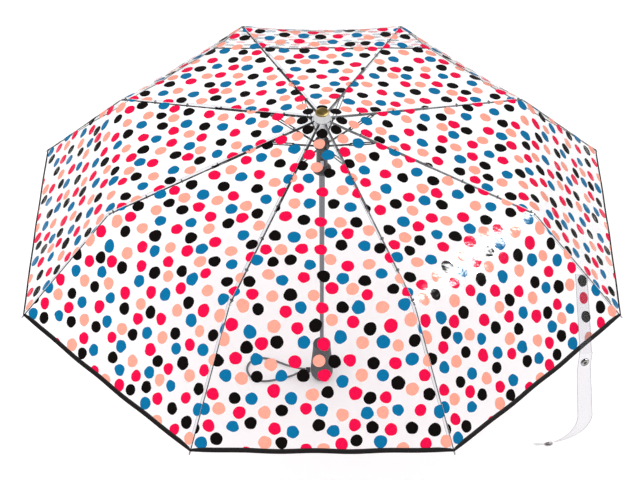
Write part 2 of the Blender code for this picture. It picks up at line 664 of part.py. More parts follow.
def build_strap():
    """A tab on the film's outer face, and the free strap that hangs from it over the hem."""
    outward, sideways, uphill, hem = panel_frame(STRAP_PANEL)
    normal = sideways.cross(uphill)
    if normal.z < 0:
        normal = -normal
    up_strap = (uphill * math.cos(STRAP_SLANT) + sideways * math.sin(STRAP_SLANT)).normalized()
    flat_across = normal.cross(up_strap).normalized()
    foot = hem + sideways * STRAP_ACROSS + normal * STRAP_LIFT
    length = STRAP_UP_FILM / math.cos(STRAP_SLANT)
    overhang = STRAP_WIDTH / 2 * math.tan(STRAP_SLANT) + STRAP_PAST_HEM
    tab = [foot + up_strap * ((length + overhang) * step / 5 - overhang) for step in range(6)]
    ribbon("strap_tab", tab, [flat_across] * 6, STRAP_THICKNESS)

    down = Vector((0.0, 0.0, -1.0))
    right = Vector((1.0, 0.0, 0.0))
    back = Vector((0.0, 1.0, 0.0))
    if flat_across.x < 0:
        flat_across = -flat_across
    level_across = Vector((flat_across.x, flat_across.y, 0.0)).normalized()
    twist_start = math.atan2(level_across.y, level_across.x)
    start = foot - up_strap * (overhang + FIT)
    edge = start - up_strap * STRAP_BEND + down * STRAP_BEND
    centres = [start, edge]
    across = [flat_across, level_across]
    flat_drop = 2 * SNAP_BELOW_HEM
    for step in range(6):
        share = step / 5
        twist = twist_start + (STRAP_FACING - twist_start) * share
        centres.append(edge + down * (flat_drop + (STRAP_DROP - flat_drop) * share) + right * STRAP_LEAN * share)
        across.append(right * math.cos(twist) + back * math.sin(twist))
    pivot = centres[-1] - right * STRAP_CURL_R
    for step in range(1, 11):
        share = step / 10
        angle = STRAP_CURL_TURN * share
        twist = STRAP_FACING + (STRAP_TWIST - STRAP_FACING) * share
        ray = right * math.cos(angle) + down * math.sin(angle)
        centres.append(pivot + ray * STRAP_CURL_R)
        across.append(ray * math.cos(twist) + back * math.sin(twist))
    ribbon("closure_strap", centres, across, STRAP_THICKNESS)

    def snap(name, at, facing):
        half = STRAP_THICKNESS / 2 + FIT
        disc = turned(name, (
            (0.0, half + SNAP_THICKNESS), (SNAP_R * 0.7, half + SNAP_THICKNESS * 0.9),
            (SNAP_R, half + SNAP_THICKNESS * 0.45), (SNAP_R, half), (0.0, half),
        ), BRIGHT_STEEL, 24)
        disc.matrix_world = Matrix.Translation(at) @ facing.to_track_quat("Z", "Y").to_matrix().to_4x4()

    face = down.cross(level_across).normalized()
    if face.dot(outward) < 0:
        face = -face
    snap("snap_cap", edge + down * SNAP_BELOW_HEM, face)
    way = (centres[-2] - centres[-4]).normalized()
    facing = across[-3].cross(way).normalized()
    if facing.z > 0:
        facing = -facing
    snap("snap_socket", centres[-3] + facing * SNAP_PROUD, facing)


def build_cord():
    route = [Vector(point) * MM for point in CORD_ROUTE]
    points = smooth_route(route, CORD_POINTS)
    rod("wrist_cord", points, [CORD_R] * len(points), GREY_CORD)
    crimp = box(
        "cord_crimp",
        (-CRIMP_END, -CRIMP_HALF_WIDTH, CORD_Z - CRIMP_HALF_HEIGHT),
        (-CRIMP_START, CRIMP_HALF_WIDTH, CORD_Z + CRIMP_HALF_HEIGHT),
        parts, BLACK_PLASTIC,
    )
    rounding = crimp.modifiers.new("soft_edges", "BEVEL")
    rounding.width = CRIMP_ROUND
    rounding.segments = 3


build_shaft()
build_handle()
build_crown()
build_runner()
build_ribs()
build_film()
build_hems()
build_strap()
build_cord()
bpy.data.orphans_purge()
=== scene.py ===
import json
import math

import bmesh
import bpy
import numpy as np
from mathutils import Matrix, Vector


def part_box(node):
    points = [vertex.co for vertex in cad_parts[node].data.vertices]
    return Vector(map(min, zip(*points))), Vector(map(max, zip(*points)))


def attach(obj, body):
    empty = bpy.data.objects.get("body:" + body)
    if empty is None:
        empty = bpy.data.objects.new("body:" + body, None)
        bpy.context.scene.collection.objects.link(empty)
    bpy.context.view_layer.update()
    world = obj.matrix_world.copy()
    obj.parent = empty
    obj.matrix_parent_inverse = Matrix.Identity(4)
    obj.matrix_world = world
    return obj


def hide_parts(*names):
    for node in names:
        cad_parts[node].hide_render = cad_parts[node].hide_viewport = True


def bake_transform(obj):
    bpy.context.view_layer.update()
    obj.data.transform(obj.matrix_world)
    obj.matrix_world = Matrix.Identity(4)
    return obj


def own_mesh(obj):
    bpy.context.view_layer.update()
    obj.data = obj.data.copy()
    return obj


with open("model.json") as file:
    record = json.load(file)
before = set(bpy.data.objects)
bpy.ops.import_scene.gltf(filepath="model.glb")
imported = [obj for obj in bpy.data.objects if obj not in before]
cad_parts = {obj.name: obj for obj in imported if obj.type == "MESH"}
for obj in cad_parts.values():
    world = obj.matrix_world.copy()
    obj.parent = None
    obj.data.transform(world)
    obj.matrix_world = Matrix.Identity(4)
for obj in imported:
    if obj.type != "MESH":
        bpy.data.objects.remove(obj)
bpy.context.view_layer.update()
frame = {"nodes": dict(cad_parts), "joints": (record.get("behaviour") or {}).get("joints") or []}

mm = 0.001
ribCount = 8
halfSector = math.pi / ribCount
joints = {joint["name"]: joint for joint in frame["joints"]}


# Small helpers

def hexColour(text):
    # sRGB to linear: c / 12.92 up to 0.04045, and ((c + 0.055) / 1.055) ^ 2.4 above it
    share = np.array([int(text[i:i + 2], 16) for i in (1, 3, 5)]) / 255
    linear = np.where(share <= 0.04045, share / 12.92, ((share + 0.055) / 1.055) ** 2.4)
    return (*linear.tolist(), 1.0)


def addNode(tree, kind, settings=None, sockets=None):
    # one node: settings are its own properties, sockets are numbers, colours or another node's output
    node = tree.nodes.new(kind)
    for name, value in (settings or {}).items():
        setattr(node, name, value)
    for key, value in (sockets or {}).items():
        if isinstance(value, bpy.types.NodeSocket):
            tree.links.new(value, node.inputs[key])
        else:
            node.inputs[key].default_value = value
    return node


def newMaterial(name):
    made = bpy.data.materials.new(name)
    made.use_nodes = True
    made.node_tree.nodes.clear()
    return made, made.node_tree


def finishMaterial(tree, shader):
    addNode(tree, "ShaderNodeOutputMaterial", None, {"Surface": shader.outputs[0]})


def unit(vectors):
    # each vector divided by its length
    vectors = np.asarray(vectors, float)
    return vectors / np.linalg.norm(vectors, axis=-1, keepdims=True)


def fromPlane(reach, side, height, azimuth):
    # outward distance, sideways distance and height of a plane at an azimuth, turned into x, y, z
    return np.stack([
        reach * np.cos(azimuth) - side * np.sin(azimuth),
        reach * np.sin(azimuth) + side * np.cos(azimuth),
        height + 0 * reach,
    ], -1)


def addPiece(name, mesh, material, smooth=True, sharpAngle=None):
    made = bpy.data.objects.new(name, mesh)
    bpy.context.scene.collection.objects.link(made)
    mesh.materials.append(material)
    mesh.polygons.foreach_set("use_smooth", np.full(len(mesh.polygons), smooth))
    if sharpAngle:
        mesh.set_sharp_from_angle(angle=math.radians(sharpAngle))
    return made


def gridMesh(name, points, uv=None, wrapRows=False, wrapColumns=False, weld=False):
    # rows x columns of points joined into quads; a wrapped direction joins its last line to its first
    rows, columns = points.shape[:2]
    corner = np.arange(rows * columns).reshape(rows, columns)
    if wrapRows:
        corner = np.concatenate([corner, corner[:1]], 0)
    if wrapColumns:
        corner = np.concatenate([corner, corner[:, :1]], 1)
    quads = np.stack([corner[:-1, :-1], corner[1:, :-1], corner[1:, 1:], corner[:-1, 1:]], -1).reshape(-1, 4)
    mesh = bpy.data.meshes.new(name)
    mesh.from_pydata(points.reshape(-1, 3), [], quads.tolist())
    if uv is not None:
        place = np.arange(corner.size).reshape(corner.shape)
        spot = np.stack([place[:-1, :-1], place[1:, :-1], place[1:, 1:], place[:-1, 1:]], -1).reshape(-1)
        layer = mesh.uv_layers.new(name="flat")
        layer.data.foreach_set("uv", uv.reshape(-1, 2)[spot].astype(np.float32).ravel())
    if weld:
        weldMesh(mesh)
    return mesh


def weldMesh(mesh):
    # poles and closing seams merged, then all faces turned outwards
    bm = bmesh.new()
    bm.from_mesh(mesh)
    bmesh.ops.remove_doubles(bm, verts=bm.verts, dist=2e-6)
    bmesh.ops.recalc_face_normals(bm, faces=bm.faces)
    bm.to_mesh(mesh)
    bm.free()


def joinMeshes(name, meshes):
    # several meshes in one, with their UVs and attributes
    bm = bmesh.new()
    for mesh in meshes:
        bm.from_mesh(mesh)
    joined = bpy.data.meshes.new(name)
    bm.to_mesh(joined)
    bm.free()
    for mesh in meshes:
        bpy.data.meshes.remove(mesh)
    return joined


def roundOff(outline, radius, steps=4, closed=False):
    # each inner corner of a (radius, height) outline becomes a short arc through a quadratic Bezier curve
    outline = [np.array(point, float) for point in outline]
    count = len(outline)
    rounded = []
    for i, point in enumerate(outline):
        if not closed and i in (0, count - 1):
            rounded.append(point)
            continue
        before = outline[i - 1] - point
        after = outline[(i + 1) % count] - point
        reach = min(radius, np.linalg.norm(before) * 0.45, np.linalg.norm(after) * 0.45)
        start = point + before / np.linalg.norm(before) * reach
        end = point + after / np.linalg.norm(after) * reach
        for t in np.linspace(0, 1, steps + 1):
            rounded.append(start * (1 - t) ** 2 + point * 2 * t * (1 - t) + end * t ** 2)
    return np.array(rounded)


def turnedMesh(name, outline, steps=96, closed=False):
    # a (radius, height) outline turned about the z axis
    angle = np.linspace(0, 2 * np.pi, steps, endpoint=False)[None, :]
    radius, height = np.asarray(outline, float).T[:, :, None]
    points = np.stack([radius * np.cos(angle), radius * np.sin(angle), height + 0 * angle], -1)
    around = np.linspace(0, 1, steps + 1)[None, :]
    along = np.concatenate([[0], np.cumsum(np.linalg.norm(np.diff(np.asarray(outline), axis=0), axis=1))])
    if closed:
        along = np.append(along, along[-1] + mm)
    uv = np.stack(np.broadcast_arrays(around, along[:, None]), -1)
    return gridMesh(name, points, uv, wrapRows=closed, wrapColumns=True, weld=True)


def moveMesh(mesh, origin, xWay, yWay, zWay):
    # every point p becomes origin + p.x * xWay + p.y * yWay + p.z * zWay
    points = np.zeros(len(mesh.vertices) * 3, np.float32)
    mesh.vertices.foreach_get("co", points)
    moved = points.reshape(-1, 3) @ np.array([xWay, yWay, zWay], float) + np.array(origin, float)
    mesh.vertices.foreach_set("co", moved.astype(np.float32).ravel())
    mesh.update()
    return mesh


def smoothPath(route, count):
    # a Catmull-Rom curve through the route's points, then points spread evenly along its length
    route = np.array(route, float)
    ends = np.concatenate([[2 * route[0] - route[1]], route, [2 * route[-1] - route[-2]]])
    t = np.linspace(0, 1, 24, endpoint=False)[None, :, None]
    a, b, c, d = (ends[i:len(ends) - 3 + i][:, None, :] for i in range(4))
    fine = 0.5 * (2 * b + (c - a) * t + (2 * a - 5 * b + 4 * c - d) * t**2 + (3 * b - a - 3 * c + d) * t**3)
    fine = np.concatenate([fine.reshape(-1, 3), route[-1:]])
    length = np.concatenate([[0], np.cumsum(np.linalg.norm(np.diff(fine, axis=0), axis=1))])
    wanted = np.linspace(0, length[-1], count)
    return np.stack([np.interp(wanted, length, fine[:, i]) for i in range(3)], 1), length[-1]


def tubeMesh(name, path, radius, sides=20, up=(0, 0, 1)):
    # a circle carried along a path: its first direction is tangent x up, its second square to both
    path = np.asarray(path, float)
    radius = np.broadcast_to(np.asarray(radius, float), (len(path),))
    tangent = unit(np.gradient(path, axis=0))
    first = unit(np.cross(tangent, np.array(up, float)))
    second = np.cross(first, tangent)
    path = np.concatenate([path[:1], path, path[-1:]])
    first, second = (np.concatenate([way[:1], way, way[-1:]]) for way in (first, second))
    size = np.concatenate([[0.0], radius, [0.0]])[:, None, None]
    angle = np.linspace(0, 2 * np.pi, sides, endpoint=False)[None, :, None]
    points = path[:, None] + size * (first[:, None] * np.cos(angle) + second[:, None] * np.sin(angle))
    along = np.concatenate([[0], np.cumsum(np.linalg.norm(np.diff(path, axis=0), axis=1))])
    uv = np.stack(np.broadcast_arrays(np.linspace(0, 1, sides + 1)[None, :], along[:, None]), -1)
    return gridMesh(name, points, uv, wrapColumns=True, weld=True)


# Stage: white floor, soft light and the camera

camera = {
    "elevation": 44.5, "distance": 3.053, "target": (-0.003, 0.0, 0.3185), "lens": 110.2, "sensor": 36.0,
}
studio = {
    "floorSize": 2.4, "floorColour": "#FDFDFD", "floorGlow": 0.14, "skyColour": "#FFFFFF",
    "skyStrength": 1.02, "roomStrength": 0.16,
    "keyPower": 20.0, "keySize": (1.6, 1.6), "keyPlace": (-1.7, -1.3, 3.0),
    "stripPower": 110.0, "stripSize": (0.55, 1.0), "stripPlace": (1.72, -0.02, 2.15),
    "stripAim": (0.22, -0.22, 0.50),
}


def makeCamera():
    slope = math.radians(camera["elevation"])
    target = Vector(camera["target"])
    place = target + camera["distance"] * Vector((0, -math.cos(slope), math.sin(slope)))
    data = bpy.data.cameras.new("camera")
    data.lens = camera["lens"]
    data.sensor_width = camera["sensor"]
    data.clip_end = 60
    made = bpy.data.objects.new("camera", data)
    made.location = place
    made.rotation_euler = (target - place).to_track_quat("-Z", "Y").to_euler()
    bpy.context.scene.collection.objects.link(made)
    bpy.context.scene.camera = made


def paintedFloor():
    # matt white acrylic, lit a little from below: an even white that keeps only soft shadows
    made, tree = newMaterial("white light table")
    shader = addNode(tree, "ShaderNodeBsdfPrincipled", None, {
        "Base Color": hexColour(studio["floorColour"]), "Roughness": 0.9, "Specular IOR Level": 0.1,
        "Emission Color": (1, 1, 1, 1), "Emission Strength": studio["floorGlow"],
    })
    finishMaterial(tree, shader)
    return made


def areaLight(name, power, size, place, target, onlyGloss=False):
    data = bpy.data.lights.new(name, "AREA")
    data.energy = power
    data.shape = "RECTANGLE"
    data.size, data.size_y = size
    made = bpy.data.objects.new(name, data)
    made.location = place
    made.rotation_euler = (Vector(target) - Vector(place)).to_track_quat("-Z", "Y").to_euler()
    made.visible_diffuse = not onlyGloss
    bpy.context.scene.collection.objects.link(made)


def makeStage():
    half = studio["floorSize"] / 2
    line = np.linspace(-half, half, 3)
    x, y = np.meshgrid(line, line)
    floor = addPiece(
        "floor", gridMesh("floor", np.stack([x, y, 0 * x - 0.2 * mm], -1)), paintedFloor(), False,
    )
    floor.data.flip_normals()
    world = bpy.data.worlds.new("soft studio")
    world.use_nodes = True
    tree = world.node_tree
    background = tree.nodes["Background"]
    background.inputs["Color"].default_value = hexColour(studio["skyColour"])
    # bright walls light the floor, and shiny surfaces mirror the dimmer room above them
    rays = addNode(tree, "ShaderNodeLightPath")
    strength = addNode(tree, "ShaderNodeMix", None, {
        0: rays.outputs["Is Glossy Ray"], 2: studio["skyStrength"], 3: studio["roomStrength"],
    })
    tree.links.new(strength.outputs[0], background.inputs["Strength"])
    bpy.context.scene.world = world
    areaLight("key softbox", studio["keyPower"], studio["keySize"], studio["keyPlace"], camera["target"])
    areaLight(
        "strip softbox", studio["stripPower"], studio["stripSize"], studio["stripPlace"], studio["stripAim"],
        True,
    )
    bpy.context.scene.view_settings.view_transform = "Standard"


makeCamera()
makeStage()
print("stage set")


# Wrist cord

wristCord = {
    # the second strand colour is a painted highlight for the raised strand tops
    "diameter": 3.5 * mm, "strandColour": "#4B4B50", "strandTopHighlight": "#6A6A70", "pick": 1.6 * mm,
    # the route in mm: out of the crimp, down to the ground, round in a drop-shaped loop and back
    "route": (
        (-27.1, -2.2, 15.0), (-31.0, -2.2, 14.9), (-36.0, -2.3, 12.6), (-41.5, -2.5, 8.8),
        (-48.0, -3.0, 5.0), (-56.0, -4.4, 2.7), (-65.0, -6.6, 2.0), (-76.0, -10.0, 2.0),
        (-87.0, -12.8, 2.0), (-98.0, -13.6, 2.0), (-107.5, -11.6, 2.0), (-115.5, -6.8, 2.0),
        (-121.5, 0.6, 2.0), (-124.8, 9.6, 2.0), (-124.6, 19.4, 2.0), (-120.8, 28.4, 2.0),
        (-113.6, 35.0, 2.0), (-103.6, 38.2, 2.0), (-92.6, 37.2, 2.0), (-81.6, 33.4, 2.0),
        (-70.8, 28.2, 2.0), (-60.6, 22.6, 2.6), (-51.6, 17.0, 4.8), (-44.4, 11.8, 8.0),
        (-38.8, 7.2, 11.4), (-34.6, 4.0, 13.8), (-31.0, 2.4, 14.9), (-27.1, 2.2, 15.0),
    ),
}


def braidedPolyester():
    # round braided polyester cord: crossing strands with a soft fuzzy sheen, dark grey
    made, tree = newMaterial("braided polyester cord")
    cordMap = addNode(tree, "ShaderNodeUVMap", {"uv_map": "flat"})
    # two slanted wave sets: around 8 strands per turn, one pick every 1.6 mm along the cord
    bands = []
    for slant in (1, -1):
        turned = addNode(tree, "ShaderNodeMapping", None, {
            "Vector": cordMap.outputs[0], "Rotation": (0, 0, 0),
            "Scale": (8.0 * slant, 1 / wristCord["pick"], 1),
        })
        parts = addNode(tree, "ShaderNodeSeparateXYZ", None, {0: turned.outputs[0]})
        total = addNode(
            tree, "ShaderNodeMath", {"operation": "ADD"}, {0: parts.outputs[0], 1: parts.outputs[1]},
        )
        wave = addNode(tree, "ShaderNodeMath", {"operation": "PINGPONG"}, {0: total.outputs[0], 1: 0.5})
        bands.append(wave)
    over = addNode(
        tree, "ShaderNodeMath", {"operation": "MAXIMUM"}, {0: bands[0].outputs[0], 1: bands[1].outputs[0]},
    )
    height = addNode(tree, "ShaderNodeMath", {"operation": "MULTIPLY"}, {0: over.outputs[0], 1: 2.0})
    # painted shade and highlight: the colour follows the braid's height, darker in the hollows between
    # strands and lighter on the raised strand tops
    colour = addNode(tree, "ShaderNodeMix", {"data_type": "RGBA"}, {
        0: height.outputs[0], 6: hexColour(wristCord["strandColour"]), 7: hexColour(wristCord["strandTopHighlight"]),
    })
    bump = addNode(
        tree, "ShaderNodeBump", None, {"Height": height.outputs[0], "Strength": 0.8, "Distance": 0.4 * mm},
    )
    shader = addNode(tree, "ShaderNodeBsdfPrincipled", None, {
        "Base Color": colour.outputs[2], "Roughness": 0.8, "Normal": bump.outputs[0],
        "Sheen Weight": 0.3, "Sheen Roughness": 0.5,
    })
    finishMaterial(tree, shader)
    return made


def makeCord():
    path, length = smoothPath(np.array(wristCord["route"]) * mm, 260)
    mesh = tubeMesh("wrist_cord_braid", path, wristCord["diameter"] / 2, 18)
    cord = addPiece("wrist_cord_braid", mesh, braidedPolyester())
    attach(cord, "handle")
    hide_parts("wrist_cord")
    print("wrist cord", round(float(length), 3), "m")


makeCord()


# Canopy: one film surface for all its pieces

canopy = {
    "filmAboveRib": 2.4 * mm, "filmAboveKnee": 2.5 * mm, "outerLength": 211.6 * mm,
    "outerSlope": 46.93, "openingReach": 5.2 * mm, "collarReach": 13.4 * mm,
    "kneeSoftMiddle": 44 * mm, "kneeSoftRib": 4 * mm, "hemBow": 2.0 * mm,
    "rippleHeight": 1.2 * mm, "ripplesAcross": 3.5,
    "innerRows": 34, "middleRows": 36, "outerRows": 52, "halfColumns": 24,
    "hazeColour": "#E9EAED", "tint": "#FDFDFE", "haze": 0.022, "weldTint": "#E9EAEE", "weldHaze": 0.16,
    "weldLine": "#A9ABB2", "weldWidth": 4.6 * mm, "weldLineWidth": 0.6 * mm, "roughness": 0.12,
}


def jointSpot(name):
    # a hinge's distance from the shaft's axis and its height
    x, y, z = joints[name]["pos_m"]
    return np.array([math.hypot(x, y), z])


def ribAzimuth(number):
    return halfSector * (2 * number - 1)


def panelAzimuth(number):
    return halfSector * (2 * number - 2)


def sidewaysOf(azimuth):
    return (-math.sin(azimuth), math.cos(azimuth), 0.0)


crownPivot, jointOne, kneeHinge = (jointSpot(f"{part}_rib_fold_1") for part in ("inner", "middle", "outer"))
ribMiddle = (jointOne + kneeHinge) / 2  # the two hinges lie the same distance above and below the rib's line
upperSlope = math.atan2(crownPivot[1] - ribMiddle[1], ribMiddle[0] - crownPivot[0])


def slopeWays(slope):
    # the downhill direction and the outward normal of a slope, as (outward, up)
    return np.array([math.cos(slope), -math.sin(slope)]), np.array([math.sin(slope), math.cos(slope)])


def filmLine(aboveRib, aboveKnee):
    # a film's line over a rib, aboveRib and aboveKnee clear of it: from the crown down the upper slope to the
    # knee, then to the hem's corner
    upperWay, upperNormal = slopeWays(upperSlope)
    lowerWay, lowerNormal = slopeWays(math.radians(canopy["outerSlope"]))
    start = crownPivot + upperNormal * aboveRib
    hem = kneeHinge + lowerNormal * aboveKnee + lowerWay * canopy["outerLength"]
    # the slopes meet where start + a * upperWay = hem - b * lowerWay
    a = np.linalg.solve(np.stack([upperWay, lowerWay], 1), hem - start)[0]
    return start, start + upperWay * a, hem


filmStart, filmKnee, filmHem = filmLine(canopy["filmAboveRib"], canopy["filmAboveKnee"])
upperFall, lowerFall = math.tan(upperSlope), math.tan(math.radians(canopy["outerSlope"]))


def filmHeight(reach, side):
    # level at the crown, then height = knee - upperFall * d, where d = reach - knee; past the knee the fall
    # grows to lowerFall over a rounding of half width h, which is wide mid-panel and tight over the ribs:
    # height -= (lowerFall - upperFall) * ramp, ramp = (d + h)^2 / 4h inside the rounding and d beyond it
    d = reach - filmKnee[0]
    h = canopy["kneeSoftMiddle"] * (1 - side**2) + canopy["kneeSoftRib"] * side**2
    ramp = np.where(d > h, d, np.clip(d + h, 0, 2 * h) ** 2 / (4 * h))
    height = filmKnee[1] - upperFall * d - (lowerFall - upperFall) * ramp
    return np.minimum(height, filmStart[1])


def filmSpot(reach, side):
    # reach is the distance from the shaft measured over a rib and side runs -1..1 between a panel's two ribs;
    # below the knee the hem bows out by hemBow * (1 - side^2) * v^2 and the film ripples a little, where v
    # runs 0..1 from the knee to the hem
    v = np.clip((reach - filmKnee[0]) / (filmHem[0] - filmKnee[0]), 0, 1)
    free = 1 - side**2
    pulled = reach + canopy["hemBow"] * free * v**2
    ripple = canopy["rippleHeight"] * free * v**2 * np.sin(np.pi * canopy["ripplesAcross"] * side + 2.2 * v)
    outward = pulled * math.cos(halfSector)
    return outward, side * pulled * math.sin(halfSector), filmHeight(pulled, side) + ripple


def filmPoints(reach, side, azimuth, lift=0.0):
    # points of the film in space, moved by lift along the film's outward normal
    reach, side = np.broadcast_arrays(np.asarray(reach, float), np.asarray(side, float))
    points = fromPlane(*filmSpot(reach, side), azimuth)
    if np.any(lift):
        small = 0.2 * mm
        downhill = fromPlane(*filmSpot(reach + small, side), azimuth) - points
        across = fromPlane(*filmSpot(reach, side + 0.002), azimuth) - points
        normal = unit(np.cross(downhill, across))
        points = points + normal * np.asarray(lift)[..., None]
    return points


def filmUv(reach, side):
    # u is the distance from the rib on the side of +1 and v the distance down the slope, both in metres
    reach, side = np.broadcast_arrays(np.asarray(reach, float), np.asarray(side, float))
    return np.stack([(1 - side) * reach * math.sin(halfSector), arcAt(reach)], -1)


midReach = np.linspace(canopy["openingReach"], filmHem[0], 900)
midLine = np.stack(filmSpot(midReach, 0 * midReach)[::2], 1)
midArc = np.concatenate([[0], np.cumsum(np.linalg.norm(np.diff(midLine, axis=0), axis=1))])


def arcAt(reach):
    # the distance from the crown's opening down the middle of a panel
    return np.interp(reach, midReach, midArc)


def reachAt(arc):
    return np.interp(arc, midArc, midReach)


def thinMirror(tree, normal):
    # how much a thin clear film mirrors, the same from both of its sides: 0.044 + 0.956 * (1 - cos of the
    # angle) ^ 5
    facing = addNode(tree, "ShaderNodeLayerWeight", None, {"Blend": 0.5, "Normal": normal})
    steep = addNode(tree, "ShaderNodeMath", {"operation": "POWER"}, {0: facing.outputs["Facing"], 1: 5.0})
    return addNode(
        tree, "ShaderNodeMath", {"operation": "MULTIPLY_ADD"}, {0: steep.outputs[0], 1: 0.956, 2: 0.044},
    )


def clearVinylFilm():
    # calendered clear PVC film: sharp wavy reflections, a faint grey haze, and a greyer doubled strip with a
    # fine edge line on one side of each weld, where the seam allowance lies flat
    made, tree = newMaterial("clear vinyl film")
    sheet = addNode(tree, "ShaderNodeUVMap", {"uv_map": "flat"})
    place = addNode(tree, "ShaderNodeSeparateXYZ", None, {0: sheet.outputs[0]})
    weld = addNode(tree, "ShaderNodeMapRange", {"interpolation_type": "SMOOTHSTEP"}, {
        "Value": place.outputs[0], "From Min": canopy["weldWidth"] * 1.05,
        "From Max": canopy["weldWidth"] * 0.95,
        "To Min": canopy["haze"], "To Max": canopy["weldHaze"],
    })
    line = addNode(tree, "ShaderNodeMath", {"operation": "COMPARE"}, {
        0: place.outputs[0], 1: canopy["weldWidth"], 2: canopy["weldLineWidth"] / 2,
    })
    double = addNode(
        tree, "ShaderNodeMath", {"operation": "LESS_THAN"}, {0: place.outputs[0], 1: canopy["weldWidth"]},
    )
    tint = addNode(tree, "ShaderNodeMix", {"data_type": "RGBA"}, {
        0: double.outputs[0], 6: hexColour(canopy["tint"]), 7: hexColour(canopy["weldTint"]),
    })
    lined = addNode(tree, "ShaderNodeMix", {"data_type": "RGBA"}, {
        0: line.outputs[0], 6: tint.outputs[2], 7: hexColour(canopy["weldLine"]),
    })
    where = addNode(tree, "ShaderNodeTexCoord")
    # slack waves of the film, about 30 mm apart, and the fine lie of the roller, about 9 mm
    slack = addNode(tree, "ShaderNodeTexNoise", None, {
        "Vector": where.outputs["Object"], "Scale": 1 / 0.030, "Detail": 3.0, "Roughness": 0.55,
    })
    fine = addNode(tree, "ShaderNodeTexNoise", None, {
        "Vector": where.outputs["Object"], "Scale": 1 / 0.009, "Detail": 2.0, "Roughness": 0.5,
    })
    broad = addNode(
        tree, "ShaderNodeBump", None, {"Height": slack.outputs[0], "Strength": 0.9, "Distance": 3 * mm},
    )
    bump = addNode(tree, "ShaderNodeBump", None, {
        "Height": fine.outputs[0], "Strength": 0.25, "Distance": 0.15 * mm, "Normal": broad.outputs[0],
    })
    clear = addNode(tree, "ShaderNodeBsdfTransparent", None, {"Color": lined.outputs[2]})
    milk = addNode(
        tree, "ShaderNodeBsdfDiffuse", None, {"Color": hexColour(canopy["hazeColour"]), "Roughness": 0.5},
    )
    body = addNode(
        tree, "ShaderNodeMixShader", None, {0: weld.outputs[0], 1: clear.outputs[0], 2: milk.outputs[0]},
    )
    gloss = addNode(tree, "ShaderNodeBsdfGlossy", None, {
        "Color": (1, 1, 1, 1), "Roughness": canopy["roughness"], "Normal": bump.outputs[0],
    })
    mirror = thinMirror(tree, bump.outputs[0])
    finishMaterial(tree, addNode(tree, "ShaderNodeMixShader", None, {
        0: mirror.outputs[0], 1: body.outputs[0], 2: gloss.outputs[0],
    }))
    return made


def gatherWithFold(piece):
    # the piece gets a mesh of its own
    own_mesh(piece)


def filmGore(name, number, reaches, material):
    # a rib's gore: from the middle of the panel before it, over the rib, to the middle of the panel after it
    half = np.linspace(0, 1, canopy["halfColumns"] + 1)
    rows = np.asarray(reaches)[:, None]
    before, after = half[None, :], half[None, :-1] - 1
    points = np.concatenate([
        filmPoints(rows, before, panelAzimuth(number)),
        filmPoints(rows, after, panelAzimuth(number + 1))[:, 1:],
        filmPoints(rows, np.zeros((1, 1)), panelAzimuth(number + 1)),
    ], 1)
    uv = np.concatenate([filmUv(rows, before), filmUv(rows, after)[:, 1:], filmUv(rows, np.zeros((1, 1)))], 1)
    return addPiece(name, gridMesh(name, points, uv), material)


def makeFilm():
    material = clearVinylFilm()
    innerReach = np.linspace(canopy["collarReach"], jointOne[0], canopy["innerRows"])
    middleReach = np.linspace(jointOne[0], filmKnee[0], canopy["middleRows"])
    outerReach = np.linspace(filmKnee[0], filmHem[0], canopy["outerRows"])
    sides = np.linspace(-1, 1, 2 * canopy["halfColumns"] + 1)[None, :]
    pieces = []
    collarRows = np.linspace(canopy["openingReach"], canopy["collarReach"], 5)[:, None]
    collar = joinMeshes("film_collar", [
        gridMesh(
            f"collar{n}", filmPoints(collarRows, sides[:, ::6], panelAzimuth(n)),
            filmUv(collarRows, sides[:, ::6]),
        )
        for n in range(1, ribCount + 1)
    ])
    weldMesh(collar)
    piece = addPiece("film_collar", collar, material)
    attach(piece, "upper_shaft")
    pieces.append(piece)
    for n in range(1, ribCount + 1):
        inner = filmGore(f"film_inner_{n}", n, innerReach, material)
        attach(inner, f"inner_rib_{n}")
        gatherWithFold(inner)
        middle = filmGore(f"film_middle_{n}", n, middleReach, material)
        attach(middle, f"middle_rib_{n}")
        gatherWithFold(middle)
        rows = outerReach[:, None]
        mesh = gridMesh(f"film_outer_{n}", filmPoints(rows, sides, panelAzimuth(n)), filmUv(rows, sides))
        outer = addPiece(f"film_outer_{n}", mesh, material)
        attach(outer, f"panel_{n}")
        gatherWithFold(outer)
        pieces += [inner, middle, outer]
    for piece in pieces:
        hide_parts("canopy_film")
    return pieces


film = makeFilm()
print("film:", len(film), "pieces")


# Printed dots

dots = {
    "seed": 11, "spacing": 27.3 * mm, "jitter": 0.17, "radius": 9.0 * mm, "radiusSpread": 0.04, "lumps": 0.05,
    "sides": 16, "lift": 0.16 * mm, "layer": 0.05 * mm, "seamGap": 0.5 * mm, "hemGap": 2.0 * mm,
    "inks": {"pink": "#EE0047", "salmon": "#FBA591", "blue": "#006FA0", "black": "#0D0807"},
    # the narrow top of each panel starts the same way: (across, down the slope) in mm
    "topRow": (("black", 0.0, 24.5), ("salmon", -4.0, 43.0), ("pink", -19.0, 62.0), ("blue", 9.0, 62.5)),
    "scatterFrom": 72 * mm,
}


